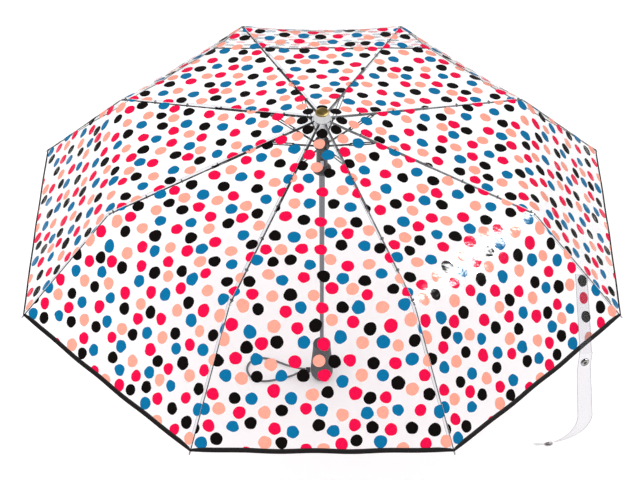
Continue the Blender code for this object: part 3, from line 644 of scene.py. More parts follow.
def scatterDots():
    # a staggered grid with jitter over one flat panel, then an ink for each that its neighbours don't have
    rng = np.random.default_rng(dots["seed"])
    inkNames = list(dots["inks"])
    step = dots["spacing"]
    rowStep = step * math.sqrt(3) / 2
    rowsDown, across = np.meshgrid(
        np.arange(0, int(midArc[-1] / rowStep) + 2), np.arange(-9, 10), indexing="ij",
    )
    q = (across + 0.5 * (rowsDown % 2)) * step
    y = dots["scatterFrom"] + (rowsDown + 0.35) * rowStep
    q, y = (value.ravel() + rng.normal(0, dots["jitter"] * step, value.size) for value in (q, y))
    halfWidth = reachAt(y) * math.sin(halfSector)
    inside = (np.abs(q) < halfWidth + dots["radius"] * 0.6) & (y < midArc[-1] + dots["radius"] * 0.4)
    centres = np.concatenate([
        np.array([[q0, y0] for _, q0, y0 in dots["topRow"]]) * mm, np.stack([q[inside], y[inside]], 1),
    ])
    # dots nearer than 0.78 of a step are pushed apart by half of what is missing, a few times over
    topCount = len(dots["topRow"])
    for _ in range(12):
        gap = centres[:, None] - centres[None]
        far = np.linalg.norm(gap, axis=-1) + np.eye(len(centres))
        push = np.clip(0.78 * step - far, 0, None) * (1 - np.eye(len(centres)))
        moved = (gap / far[..., None] * push[..., None] * 0.5).sum(1)
        moved[:topCount] = 0
        centres = centres + moved
    gaps = np.linalg.norm(centres[:, None] - centres[None], axis=-1)
    inks = np.full(len(centres), -1)
    inks[:topCount] = [inkNames.index(name) for name, _, _ in dots["topRow"]]
    for i in np.argsort(centres[:, 1]):
        if inks[i] < 0:
            near = (gaps[i] < step * 1.5) & (inks >= 0)
            used = np.bincount(inks[near], weights=1 / (gaps[i][near] + mm), minlength=4)
            inks[i] = int(np.argmin(used + rng.random(4) * 40 * np.array([0.8, 1.0, 1.0, 1.1])))
    # each outline is r * (1 + lumps * three low harmonics)
    angle = np.linspace(0, 2 * np.pi, dots["sides"], endpoint=False)[None, :]
    radius = dots["radius"] * (1 + dots["radiusSpread"] * rng.normal(size=(len(centres), 1)))
    for harmonic in (2, 3, 5):
        phase = rng.random((len(centres), 1)) * 2 * np.pi
        size = dots["lumps"] * rng.random((len(centres), 1)) / (1 + 0.3 * harmonic)
        radius = radius * (1 + size * 2 * np.cos(harmonic * angle + phase))
    ring = np.stack([radius * np.cos(angle), radius * np.sin(angle)], -1)
    shares = np.array([0.0, 0.5, 1.0])[None, :, None, None]
    outline = centres[:, None, None] + shares * ring[:, None]
    layers = rng.integers(0, 3, len(centres))
    return centres, inks, layers, outline


def screenInk():
    # screen-printed vinyl ink: flat, opaque and slightly less glossy than the film, with faint thin spots
    made, tree = newMaterial("screen printed ink")
    ink = addNode(tree, "ShaderNodeAttribute", {"attribute_name": "ink"})
    where = addNode(tree, "ShaderNodeTexCoord")
    thin = addNode(
        tree, "ShaderNodeTexNoise", None,
        {"Vector": where.outputs["Object"], "Scale": 1 / 0.004, "Detail": 3.0},
    )
    shade = addNode(tree, "ShaderNodeMapRange", None, {
        "Value": thin.outputs[0], "From Min": 0.3, "From Max": 0.7, "To Min": 0.93, "To Max": 1.05,
    })
    colour = addNode(
        tree, "ShaderNodeHueSaturation", None, {"Value": shade.outputs[0], "Color": ink.outputs[0]},
    )
    slack = addNode(tree, "ShaderNodeTexNoise", None, {
        "Vector": where.outputs["Object"], "Scale": 1 / 0.030, "Detail": 3.0, "Roughness": 0.55,
    })
    bump = addNode(
        tree, "ShaderNodeBump", None, {"Height": slack.outputs[0], "Strength": 0.9, "Distance": 3 * mm},
    )
    shader = addNode(tree, "ShaderNodeBsdfPrincipled", None, {
        "Base Color": colour.outputs[0], "Roughness": 0.16, "Specular IOR Level": 0.22,
        "Normal": bump.outputs[0],
    })
    finishMaterial(tree, shader)
    return made


def dotMesh(name, groups):
    # groups of (panel azimuth, outlines, inks, layers) in one mesh; every ring point is held inside its panel
    points, colours = [], []
    palette = np.array([hexColour(text) for text in dots["inks"].values()])
    for azimuth, outline, inks, layers in groups:
        y = np.clip(outline[..., 1], 4 * mm, midArc[-1] - dots["hemGap"])
        reach = reachAt(y)
        edge = reach * math.sin(halfSector) - dots["seamGap"]
        side = np.clip(outline[..., 0], -edge, edge) / (reach * math.sin(halfSector))
        lift = dots["lift"] + dots["layer"] * layers[:, None, None] + 0 * reach
        points.append(filmPoints(reach, side, azimuth, lift).reshape(-1, 3))
        colours.append(np.repeat(palette[inks], outline.shape[1] * outline.shape[2], axis=0))
    points, colours = np.concatenate(points), np.concatenate(colours)
    sides = dots["sides"]
    first = np.arange(0, len(points), 3 * sides)[:, None]
    now, after = np.arange(sides)[None, :], np.roll(np.arange(sides), -1)[None, :]
    fan = np.stack([first + 0 * now, first + sides + now, first + sides + after], -1).reshape(-1, 3)
    belt = np.stack([
        first + sides + now, first + 2 * sides + now, first + 2 * sides + after, first + sides + after,
    ], -1).reshape(-1, 4)
    # faces with no area, where an outline is held at a weld, are left out
    fanArea = np.linalg.norm(
        np.cross(points[fan[:, 1]] - points[fan[:, 0]], points[fan[:, 2]] - points[fan[:, 0]]), axis=1,
    )
    beltArea = np.linalg.norm(
        np.cross(points[belt[:, 2]] - points[belt[:, 0]], points[belt[:, 3]] - points[belt[:, 1]]), axis=1,
    )
    fan, belt = fan[fanArea > 1e-9], belt[beltArea > 1e-9]
    mesh = bpy.data.meshes.new(name)
    mesh.from_pydata(points, [], fan.tolist() + belt.tolist())
    layer = mesh.color_attributes.new("ink", "FLOAT_COLOR", "POINT")
    layer.data.foreach_set("color", colours.astype(np.float32).ravel())
    bm = bmesh.new()
    bm.from_mesh(mesh)
    bmesh.ops.delete(bm, geom=[vert for vert in bm.verts if not vert.link_faces], context="VERTS")
    bm.to_mesh(mesh)
    bm.free()
    return mesh


def makeDots():
    centres, inks, layers, outline = scatterDots()
    reach = reachAt(centres[:, 1])
    ink = screenInk()

    def chosen(number, wanted):
        return panelAzimuth(number), outline[wanted], inks[wanted], layers[wanted]

    bands = {"inner": reach < jointOne[0], "middle": (reach >= jointOne[0]) & (reach < filmKnee[0])}
    outer = reach >= filmKnee[0]
    left, right = centres[:, 0] < 0, centres[:, 0] >= 0
    for n in range(1, ribCount + 1):
        for band, inBand in bands.items():
            groups = [chosen(n, inBand & right), chosen(n + 1, inBand & left)]
            piece = addPiece(f"dots_{band}_{n}", dotMesh(f"dots_{band}_{n}", groups), ink)
            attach(piece, f"{band}_rib_{n}")
            gatherWithFold(piece)
        piece = addPiece(f"dots_outer_{n}", dotMesh(f"dots_outer_{n}", [chosen(n, outer)]), ink)
        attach(piece, f"panel_{n}")
        gatherWithFold(piece)
    print("dots:", len(centres), "on each panel")


makeDots()


# Hem tape

hemTape = {
    "width": 6.5 * mm, "foldRadius": 0.55 * mm, "thickness": 0.28 * mm, "colour": "#151314",
    # the second tape colour is a painted highlight for the raised rib tops
    "ribTopHighlight": "#242223",
    "rib": 0.9 * mm, "stitch": 3.2 * mm, "stitchFromEdge": 1.5 * mm, "stitchWidth": 0.5 * mm,
    "stitchColour": "#3A383A",
    "cornerShare": 0.45, "cornerReach": 22 * mm, "columns": 150, "sideShare": 0.5, "sidePanels": (1, 5),
}


def wovenTape():
    # woven polyester binding tape: fine crosswise ribs, matt black, with one row of black lock stitches
    made, tree = newMaterial("woven polyester tape")
    tapeMap = addNode(tree, "ShaderNodeUVMap", {"uv_map": "flat"})
    parts = addNode(tree, "ShaderNodeSeparateXYZ", None, {0: tapeMap.outputs[0]})
    # ribs 0.9 mm apart, drawn about twice as coarse as the real ones so that they show
    ribs = addNode(
        tree, "ShaderNodeMath", {"operation": "PINGPONG"}, {0: parts.outputs[0], 1: hemTape["rib"] / 2},
    )
    raised = addNode(
        tree, "ShaderNodeMath", {"operation": "DIVIDE"}, {0: ribs.outputs[0], 1: hemTape["rib"] / 2},
    )
    # painted shade and highlight: darker in the grooves between ribs and lighter on the raised rib tops,
    # following the bump's height
    colour = addNode(tree, "ShaderNodeMix", {"data_type": "RGBA"}, {
        0: raised.outputs[0], 6: hexColour(hemTape["colour"]), 7: hexColour(hemTape["ribTopHighlight"]),
    })
    bump = addNode(
        tree, "ShaderNodeBump", None, {"Height": raised.outputs[0], "Strength": 0.6, "Distance": 0.2 * mm},
    )
    # the lock stitches: a dashed line near the tape's inner edge, one stitch every 3.2 mm
    onLine = addNode(tree, "ShaderNodeMath", {"operation": "COMPARE"}, {
        0: parts.outputs[1], 1: hemTape["stitchFromEdge"], 2: hemTape["stitchWidth"] / 2,
    })
    pitch = addNode(
        tree, "ShaderNodeMath", {"operation": "PINGPONG"}, {0: parts.outputs[0], 1: hemTape["stitch"] / 2},
    )
    dash = addNode(tree, "ShaderNodeMath", {"operation": "GREATER_THAN"}, {
        0: pitch.outputs[0], 1: hemTape["stitch"] * 0.12,
    })
    thread = addNode(
        tree, "ShaderNodeMath", {"operation": "MULTIPLY"}, {0: onLine.outputs[0], 1: dash.outputs[0]},
    )
    stitched = addNode(tree, "ShaderNodeMix", {"data_type": "RGBA"}, {
        0: thread.outputs[0], 6: colour.outputs[2], 7: hexColour(hemTape["stitchColour"]),
    })
    shader = addNode(tree, "ShaderNodeBsdfPrincipled", None, {
        "Base Color": stitched.outputs[2], "Roughness": 0.75, "Normal": bump.outputs[0],
        "Specular IOR Level": 0.1,
    })
    finishMaterial(tree, shader)
    return made


def hemSection():
    # the folded tape's closed section, as (up the film, off the film): the outside round the fold and back
    # inside
    reach, radius, thin = hemTape["width"], hemTape["foldRadius"], hemTape["thickness"]
    turn = np.linspace(np.pi / 2, 3 * np.pi / 2, 9)

    def skin(size):
        bow = np.stack([size * np.cos(turn), size * np.sin(turn)], 1)
        line = np.linspace(reach, 1.2 * mm, 5)
        top = np.stack([line, 0 * line + size - 0.12 * mm * (line / reach)], 1)
        return np.concatenate([top, bow, (top * [1, -1])[::-1]])

    return np.concatenate([skin(radius), skin(radius - thin)[::-1]])


def makeHemTape():
    tape = wovenTape()
    section = hemSection()
    around = np.concatenate([[0], np.cumsum(np.linalg.norm(np.diff(section, axis=0), axis=1))])
    side = np.linspace(-1, 1, hemTape["columns"] + 1)
    small = 0.5 * mm
    for n in range(1, ribCount + 1):
        azimuth = panelAzimuth(n)
        edge = filmPoints(filmHem[0], side, azimuth)
        uphill = unit(filmPoints(filmHem[0] - small, side, azimuth) - edge)
        off = unit(filmPoints(filmHem[0], side, azimuth, small) - edge)
        run = np.concatenate([[0], np.cumsum(np.linalg.norm(np.diff(edge, axis=0), axis=1))])
        # the width falls to cornerShare at each corner, over cornerReach, and the tapes of sidePanels are
        # narrower
        fromCorner = np.clip(np.minimum(run, run[-1] - run) / hemTape["cornerReach"], 0, 1)
        share = hemTape["cornerShare"] + (1 - hemTape["cornerShare"]) * np.sqrt(fromCorner)
        share = share * (hemTape["sideShare"] if n in hemTape["sidePanels"] else 1)
        wide = share[:, None, None] * section[None, :, :1]
        points = edge[:, None] + uphill[:, None] * wide + off[:, None] * section[None, :, 1:]
        uv = np.stack(np.broadcast_arrays(run[:, None], np.append(around, around[-1] + mm)[None, :]), -1)
        mesh = gridMesh(f"hem_tape_{n}", points, uv, wrapColumns=True)
        capEnds(mesh, len(side), len(section))
        piece = addPiece(f"hem_tape_{n}", mesh, tape, sharpAngle=50)
        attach(piece, f"panel_{n}")
        gatherWithFold(piece)
        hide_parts(f"hem_binding_{n}")


def capEnds(mesh, rows, columns):
    # the two end sections of a wrapped grid closed by one face each, then all faces turned outwards
    bm = bmesh.new()
    bm.from_mesh(mesh)
    bm.verts.ensure_lookup_table()
    for first in (0, (rows - 1) * columns):
        bm.faces.new([bm.verts[first + i] for i in range(columns)])
    bmesh.ops.triangulate(bm, faces=[face for face in bm.faces if len(face.verts) > 4])
    bmesh.ops.recalc_face_normals(bm, faces=bm.faces)
    bm.to_mesh(mesh)
    bm.free()


makeHemTape()
print("hem tape on")


# Ribs, wires and stretchers

steel = {
    # the second strip colour is a painted highlight, laid on in streaks
    "lacquer": "#292A2D", "lacquerHighlight": "#9C9EA3", "wire": "#26272A", "tip": "#D3D4D6", "rivet": "#B9BBBE",
    "stroke": 14 * mm, "tipFrom": 478.4 * mm, "rivetRadius": 0.9 * mm, "rivetProud": 0.45 * mm,
    "thread": "#2A2A2D",
}


def pressedSteel(name, first, second, roughness, metallic=1.0):
    # cold-rolled strip under thin grey lacquer: satin, with soft lengthwise streaks of painted highlight
    # mixed into its colour
    made, tree = newMaterial(name)
    where = addNode(tree, "ShaderNodeTexCoord")
    streak = addNode(tree, "ShaderNodeTexNoise", None, {
        "Vector": where.outputs["Object"], "Scale": 1 / steel["stroke"], "Detail": 3.0, "Roughness": 0.6,
    })
    highlightStreak = addNode(tree, "ShaderNodeMapRange", {"interpolation_type": "SMOOTHSTEP"}, {
        "Value": streak.outputs[0], "From Min": 0.5, "From Max": 0.68,
    })
    # painted highlight: the lighter colour is mixed in as streaks where the noise is high
    colour = addNode(tree, "ShaderNodeMix", {"data_type": "RGBA"}, {
        0: highlightStreak.outputs[0], 6: hexColour(first), 7: hexColour(second),
    })
    grain = addNode(tree, "ShaderNodeTexNoise", None, {
        "Vector": where.outputs["Object"], "Scale": 1 / 0.0012, "Detail": 2.0,
    })
    bump = addNode(
        tree, "ShaderNodeBump", None, {"Height": grain.outputs[0], "Strength": 0.15, "Distance": 0.05 * mm},
    )
    return made, tree, where, colour, addNode(tree, "ShaderNodeBsdfPrincipled", None, {
        "Base Color": colour.outputs[2], "Metallic": metallic, "Roughness": roughness,
        "Normal": bump.outputs[0],
    })


def lacqueredStrip():
    made, tree, _, _, shader = pressedSteel(
        "grey lacquered steel strip", steel["lacquer"], steel["lacquerHighlight"], 0.32,
    )
    finishMaterial(tree, shader)
    return made


def springWire():
    # round spring-steel wire, dark satin, with a bright nickel tip past the canopy's corner
    # the wire's faintly lighter streaks are painted highlights
    made, tree, where, colour, shader = pressedSteel("dark spring wire", steel["wire"], steel["lacquer"], 0.4)
    flat = addNode(
        tree, "ShaderNodeVectorMath", {"operation": "MULTIPLY"}, {0: where.outputs["Object"], 1: (1, 1, 0)},
    )
    reach = addNode(tree, "ShaderNodeVectorMath", {"operation": "LENGTH"}, {0: flat.outputs[0]})
    tip = addNode(
        tree, "ShaderNodeMath", {"operation": "GREATER_THAN"}, {0: reach.outputs[1], 1: steel["tipFrom"]},
    )
    mixed = addNode(tree, "ShaderNodeMix", {"data_type": "RGBA"}, {
        0: tip.outputs[0], 6: colour.outputs[2], 7: hexColour(steel["tip"]),
    })
    tree.links.new(mixed.outputs[2], shader.inputs["Base Color"])
    finishMaterial(tree, shader)
    return made


def brightRivet():
    # nickel-plated rivet wire: bright and smooth
    made, tree = newMaterial("nickel plated rivet")
    finishMaterial(tree, addNode(tree, "ShaderNodeBsdfPrincipled", None, {
        "Base Color": hexColour(steel["rivet"]), "Metallic": 1.0, "Roughness": 0.25,
    }))
    return made


def boundThread():
    # waxed polyester thread, dark, wound tight round rib and film
    made, tree = newMaterial("waxed sewing thread")
    finishMaterial(tree, addNode(tree, "ShaderNodeBsdfPrincipled", None, {
        "Base Color": hexColour(steel["thread"]), "Roughness": 0.7,
    }))
    return made


def giveMaterial(material, *nodes):
    # a CAD piece keeps its mesh and gets a finished material
    for name in nodes:
        data = frame["nodes"][name].data
        data.materials.clear()
        data.materials.append(material)


def halfAcross(node):
    # half of a first rib's or stretcher's width, measured along its hinge's axis
    points = np.array([vertex.co for vertex in frame["nodes"][node].data.vertices])
    return float(np.abs(points @ np.array(sidewaysOf(ribAzimuth(1)))).max())


def rivetMesh(name, halfLength):
    # a headed pin about z: a shank with a low dome at each end, radius r * cos(t) and rise proud * sin(t)
    t = np.linspace(0, np.pi / 2, 4)
    dome = np.stack([steel["rivetRadius"] * np.cos(t), halfLength + steel["rivetProud"] * np.sin(t)], 1)[::-1]
    return turnedMesh(name, np.concatenate([dome, dome[::-1] * [1, -1]]), 12)


def pinAcross(name, hinge, halfLength, azimuth):
    # the pin's own z goes along the hinge's axis, sideways of the rib
    outwards = (math.cos(azimuth), math.sin(azimuth), 0)
    spot = fromPlane(np.array(hinge[0]), 0.0, np.array(hinge[1]), azimuth)
    return moveMesh(rivetMesh(name, halfLength), spot, outwards, (0, 0, 1), sidewaysOf(azimuth))


def threadLoop(name, along, azimuth):
    # three turns of thread round the rib and the film's weld: a small ring in the plane square to the rib
    way, normal = slopeWays(upperSlope)
    spot = crownPivot + way * along + normal * 0.9 * mm
    turn = np.linspace(0, 6 * np.pi, 40)
    halfWidth, halfHeight = halfAcross("inner_rib_1") + 0.55 * mm, 2.25 * mm
    # a squarish loop: cos and sin with their size raised to 0.6
    sideways = halfWidth * np.sign(np.cos(turn)) * np.abs(np.cos(turn)) ** 0.6
    upwards = halfHeight * np.sign(np.sin(turn)) * np.abs(np.sin(turn)) ** 0.6
    forward = (turn / turn[-1] - 0.5) * 1.5 * mm
    path = fromPlane(
        spot[0] + way[0] * forward + normal[0] * upwards, sideways,
        spot[1] + way[1] * forward + normal[1] * upwards, azimuth,
    )
    return tubeMesh(name, path, 0.3 * mm, 6, up=fromPlane(way[0], 0.0, way[1], azimuth))


def makeRibFittings():
    strip, wire, rivet, thread = lacqueredStrip(), springWire(), brightRivet(), boundThread()
    way, normal = slopeWays(upperSlope)
    tabPivot = crownPivot + way * 70 * mm - normal * 3.2 * mm
    widths = [halfAcross(node) for node in ("inner_rib_1", "stretcher_1", "middle_rib_1")]
    for n in range(1, ribCount + 1):
        azimuth = ribAzimuth(n)
        giveMaterial(strip, f"inner_rib_{n}", f"middle_rib_{n}", f"stretcher_{n}")
        giveMaterial(wire, f"outer_rib_{n}")
        pieces = (
            (f"joint_pin_{n}", pinAcross(f"joint_pin_{n}", jointOne, widths[0], azimuth), f"inner_rib_{n}"),
            (f"tab_pin_{n}", pinAcross(f"tab_pin_{n}", tabPivot, widths[1], azimuth), f"inner_rib_{n}"),
            (f"knee_pin_{n}", pinAcross(f"knee_pin_{n}", kneeHinge, widths[2], azimuth), f"middle_rib_{n}"),
        )
        for name, mesh, body in pieces:
            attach(addPiece(name, mesh, rivet), body)
        ties = joinMeshes(f"thread_ties_{n}", [
            threadLoop(f"tie_{n}_{share}", 163 * mm * share, azimuth) for share in (0.3, 0.64, 0.95)
        ])
        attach(addPiece(f"thread_ties_{n}", ties, thread), f"inner_rib_{n}")
        far = joinMeshes(f"far_ties_{n}", [
            threadLoop(f"far_tie_{n}_{share}", (163 + 165 * share) * mm, azimuth)
            for share in (0.3, 0.64, 0.96)
        ])
        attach(addPiece(f"far_ties_{n}", far, thread), f"middle_rib_{n}")
    print("ribs finished, with pins and thread ties")


makeRibFittings()


# Shaft

shaft = {
    "colour": "#66676C", "sheen": "#85868B", "lip": 0.35 * mm, "collar": 1.6 * mm,
    "tubes": {
        "lower_tube": (3.2 * mm, "handle"), "middle_tube": (3.85 * mm, "middle_shaft"),
        "upper_tube": (4.5 * mm, "upper_shaft"),
    },
    "wall": 0.4 * mm,
}


def drawnTube():
    # drawn and plated steel tube: satin, with long fine lines from the die and a slow change along its length
    made, tree = newMaterial("drawn steel tube")
    where = addNode(tree, "ShaderNodeTexCoord")
    lines = addNode(
        tree, "ShaderNodeMapping", None,
        {"Vector": where.outputs["Object"], "Scale": (1 / 0.0006, 1 / 0.0006, 1 / 0.06)},
    )
    noise = addNode(
        tree, "ShaderNodeTexNoise", None, {"Vector": lines.outputs[0], "Scale": 1.0, "Detail": 3.0},
    )
    colour = addNode(tree, "ShaderNodeMix", {"data_type": "RGBA"}, {
        0: noise.outputs[0], 6: hexColour(shaft["colour"]), 7: hexColour(shaft["sheen"]),
    })
    rough = addNode(
        tree, "ShaderNodeMapRange", None, {"Value": noise.outputs[0], "To Min": 0.24, "To Max": 0.4},
    )
    finishMaterial(tree, addNode(tree, "ShaderNodeBsdfPrincipled", None, {
        "Base Color": colour.outputs[2], "Metallic": 1.0, "Roughness": rough.outputs[0],
    }))
    return made


def makeTubes():
    material = drawnTube()
    for name, (radius, body) in shaft["tubes"].items():
        low, high = (corner.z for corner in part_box(name))
        inner = radius - shaft["wall"]
        # the lower end of each tube is rolled in a little, as it has to hold the next one
        outline = [
            (radius, high), (radius, low + shaft["collar"] * 2),
            (radius - shaft["lip"] * 0.5, low + shaft["collar"] * 1.4),
            (radius, low + shaft["collar"] * 0.8), (radius, low), (inner, low), (inner, high),
        ]
        mesh = turnedMesh(f"{name}_drawn", roundOff(outline, 0.3 * mm, 3, closed=True), 64, closed=True)
        piece = addPiece(f"{name}_drawn", mesh, material, sharpAngle=50)
        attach(piece, body)
        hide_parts(name)
    print("shaft tubes drawn")


makeTubes()


# Handle, its end plug and the cord's crimp

handle = {
    "length": 82 * mm, "topRadius": 14.5 * mm, "widestRadius": 18.5 * mm, "widestHeight": 16 * mm,
    "lip": 2.5 * mm,
    "plugRadius": 6.5 * mm, "plugThickness": 3 * mm, "clearance": 0.3 * mm, "bore": 3.5 * mm,
    "colour": "#3C3C41", "dust": "#47474C", "grain": 0.55 * mm,
}


def satinRubber(name, colour, dust, grain, roughness=0.55):
    # soft-touch coated moulding: matt, with a very fine even grain and a dusty bloom
    made, tree = newMaterial(name)
    where = addNode(tree, "ShaderNodeTexCoord")
    cloud = addNode(
        tree, "ShaderNodeTexNoise", None,
        {"Vector": where.outputs["Object"], "Scale": 1 / 0.018, "Detail": 4.0},
    )
    mixed = addNode(tree, "ShaderNodeMix", {"data_type": "RGBA"}, {
        0: cloud.outputs[0], 6: hexColour(colour), 7: hexColour(dust),
    })
    pebble = addNode(
        tree, "ShaderNodeTexVoronoi", {"feature": "F1"},
        {"Vector": where.outputs["Object"], "Scale": 1 / grain},
    )
    bump = addNode(
        tree, "ShaderNodeBump", None, {"Height": pebble.outputs[0], "Strength": 0.25, "Distance": 0.06 * mm},
    )
    finishMaterial(tree, addNode(tree, "ShaderNodeBsdfPrincipled", None, {
        "Base Color": mixed.outputs[2], "Roughness": roughness, "Specular IOR Level": 0.4,
        "Normal": bump.outputs[0],
    }))
    return made


def handleOutline():
    # from the bore's top over the lip, down a cosine swell to the widest ring, then a quarter ellipse to the
    # plug
    top, widest = handle["topRadius"], handle["widestRadius"]
    share = np.linspace(0, 1, 40)
    swell = 0.5 - 0.5 * np.cos(np.pi * share)
    side = np.stack([
        top + (widest - top) * swell,
        (handle["length"] - handle["lip"]) * (1 - share) + handle["widestHeight"] * share,
    ], 1)
    lowRadius, angle = handle["plugRadius"] + handle["lip"], np.linspace(0, np.pi / 2, 24)[1:]
    foot = np.stack([
        lowRadius + (widest - lowRadius) * np.cos(angle),
        handle["widestHeight"] - (handle["widestHeight"] - handle["clearance"]) * np.sin(angle),
    ], 1)
    recess = handle["plugRadius"] + handle["clearance"]
    seat = handle["plugThickness"] + handle["clearance"]
    lip = np.array([
        (handle["bore"], handle["length"]), (top - handle["lip"] * 0.95, handle["length"]),
        (top - handle["lip"] * 0.28, handle["length"] - handle["lip"] * 0.28),
    ])
    inner = np.array([(recess, handle["clearance"]), (recess, seat), (handle["bore"], seat)])
    return np.concatenate([roundOff(np.concatenate([lip, side[:1]]), 1.0 * mm, 4), side[1:], foot, inner])


def makeHandle():
    material = satinRubber("soft touch handle coating", handle["colour"], handle["dust"], handle["grain"])
    grip = addPiece(
        "grip_moulding", turnedMesh("grip_moulding", handleOutline(), 96, closed=True), material,
        sharpAngle=45,
    )
    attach(grip, "handle")
    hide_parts("handle_grip")
    plugOutline = [
        (0, handle["plugThickness"]), (handle["plugRadius"], handle["plugThickness"]),
        (handle["plugRadius"], 0.6 * mm),
        (handle["plugRadius"] - 0.6 * mm, 0), (2.2 * mm, 0), (1.6 * mm, 0.35 * mm), (0, 0.35 * mm),
    ]
    plug = addPiece(
        "plug_moulding", turnedMesh("plug_moulding", roundOff(plugOutline, 0.25 * mm, 3), 64), material,
        sharpAngle=45,
    )
    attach(plug, "handle")
    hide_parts("handle_end_plug")
    giveMaterial(satinRubber("moulded black nylon", "#232326", "#2D2D31", 0.8 * mm, 0.45), "cord_crimp")
    print("handle made")


makeHandle()


# Crown, washer and top cap

crownSet = {
    "bore": 3.3 * mm, "milk": "#E9EAEC", "washerTop": 10 * mm, "washerRadius": 13 * mm, "washerRim": 0.9 * mm,
    "bronze": "#8F7A45", "bronzeDark": "#5F4F28", "bronzeEdge": "#B9A26A", "capRadius": 10 * mm,
}


def milkyPlastic(name, alpha):
    # natural polypropylene: translucent, milky white, with a soft waxy gloss
    made, tree = newMaterial(name)
    where = addNode(tree, "ShaderNodeTexCoord")
    flow = addNode(
        tree, "ShaderNodeTexNoise", None,
        {"Vector": where.outputs["Object"], "Scale": 1 / 0.009, "Detail": 2.0},
    )
    bump = addNode(
        tree, "ShaderNodeBump", None, {"Height": flow.outputs[0], "Strength": 0.2, "Distance": 0.2 * mm},
    )
    finishMaterial(tree, addNode(tree, "ShaderNodeBsdfPrincipled", None, {
        "Base Color": hexColour(crownSet["milk"]), "Roughness": 0.28, "Alpha": alpha,
        "Normal": bump.outputs[0],
    }))
    return made


def agedBronze():
    # spun brass cap with an aged bronze finish: turning rings about the shaft's axis, darker low spots,
    # lighter towards the rim
    made, tree = newMaterial("aged bronze cap")
    where = addNode(tree, "ShaderNodeTexCoord")
    flat = addNode(
        tree, "ShaderNodeVectorMath", {"operation": "MULTIPLY"}, {0: where.outputs["Object"], 1: (1, 1, 0)},
    )
    reach = addNode(tree, "ShaderNodeVectorMath", {"operation": "LENGTH"}, {0: flat.outputs[0]})
    rings = addNode(tree, "ShaderNodeMath", {"operation": "PINGPONG"}, {0: reach.outputs[1], 1: 0.35 * mm})
    stain = addNode(
        tree, "ShaderNodeTexNoise", None,
        {"Vector": where.outputs["Object"], "Scale": 1 / 0.005, "Detail": 4.0},
    )
    aged = addNode(tree, "ShaderNodeMix", {"data_type": "RGBA"}, {
        0: stain.outputs[0], 6: hexColour(crownSet["bronzeDark"]), 7: hexColour(crownSet["bronze"]),
    })
    rim = addNode(tree, "ShaderNodeMapRange", {"interpolation_type": "SMOOTHSTEP"}, {
        "Value": reach.outputs[1], "From Min": 7.6 * mm, "From Max": 8.6 * mm,
    })
    colour = addNode(tree, "ShaderNodeMix", {"data_type": "RGBA"}, {
        0: rim.outputs[0], 6: aged.outputs[2], 7: hexColour(crownSet["bronzeEdge"]),
    })
    bump = addNode(
        tree, "ShaderNodeBump", None, {"Height": rings.outputs[0], "Strength": 0.4, "Distance": 1.0},
    )
    finishMaterial(tree, addNode(tree, "ShaderNodeBsdfPrincipled", None, {
        "Base Color": colour.outputs[2], "Metallic": 0.85, "Roughness": 0.5, "Normal": bump.outputs[0],
    }))
    return made


def makeCrown():
    milk = milkyPlastic("natural polypropylene crown", 0.82)
    giveMaterial(milk, "crown")
    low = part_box("crown_washer")[0].z
    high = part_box("crown_washer")[1].z
    cone = [
        (crownSet["bore"], high), (crownSet["washerTop"], high),
        (crownSet["washerRadius"], low + crownSet["washerRim"]),
        (crownSet["washerRadius"], low), (crownSet["bore"], low),
    ]
    mesh = turnedMesh("washer_cone", roundOff(cone, 0.5 * mm, 4, closed=True), 96, closed=True)
    washer = addPiece("washer_cone", mesh, milkyPlastic("natural polypropylene washer", 0.72), sharpAngle=50)
    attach(washer, "upper_shaft")
    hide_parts("crown_washer")
    bottom, top = (corner.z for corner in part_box("top_cap"))
    capBottom = high + 0.3 * mm
    rise = top - capBottom
    # a nearly flat face inside a low raised rim, a rounded shoulder, a straight side and a stem
    capRadius = crownSet["capRadius"]
    face = np.array([
        (0, top), (capRadius * 0.72, top - 0.12 * mm), (capRadius * 0.78, top - 0.45 * mm),
        (capRadius * 0.83, top - 0.15 * mm),
        (capRadius * 0.92, top - 0.5 * mm), (capRadius, capBottom + rise * 0.6), (capRadius, capBottom),
        (3.0 * mm, capBottom), (3.0 * mm, bottom), (0, bottom),
    ])
    mesh = turnedMesh("cap_spun", roundOff(face, 0.7 * mm, 4), 96)
    cap = addPiece("cap_spun", mesh, agedBronze(), sharpAngle=50)
    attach(cap, "upper_shaft")
    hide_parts("top_cap")
    print("crown set made")


makeCrown()


# Runner and its catch

runnerSet = {"colour": "#252529", "dust": "#34343A", "catch": "#A9ABAE"}


def makeRunner():
    giveMaterial(
        satinRubber("moulded black acetal", runnerSet["colour"], runnerSet["dust"], 0.7 * mm, 0.4), "runner",
    )
    # the catch's lighter streaks (#C9CBCD) are painted highlights
    made, tree, _, _, shader = pressedSteel("pressed nickel catch", runnerSet["catch"], "#C9CBCD", 0.3)
    finishMaterial(tree, shader)
    giveMaterial(made, "runner_catch")
    print("runner finished")


makeRunner()


# Closing strap and its snap

strap = {
    "width": 23 * mm, "thickness": 0.5 * mm, "across": 99 * mm, "upFilm": 90 * mm, "slant": math.radians(30),
    "lift": 1.6 * mm, "drop": 136 * mm, "curlRadius": 66 * mm, "curlTurn": math.radians(95),
    "facing": math.radians(8), "twist": math.radians(50), "lean": 12 * mm,
    "pastHem": 2 * mm, "bend": 4 * mm, "snapBelowHem": 14 * mm, "panel": 8, "gap": 0.3 * mm,
    "haze": 0.025, "hazeColour": "#EDEEF0", "tint": "#F6F6F8", "edge": "#D6D7DB", "edgeWidth": 1.0 * mm,
    "snapRadius": 6.85 * mm, "snapThickness": 2.2 * mm, "lineAboveRib": 2.8 * mm, "lineAboveKnee": 3.0 * mm,
    "socketHeight": 1.7, "chrome": "#A3A19F", "snapDark": "#3B3937",
}


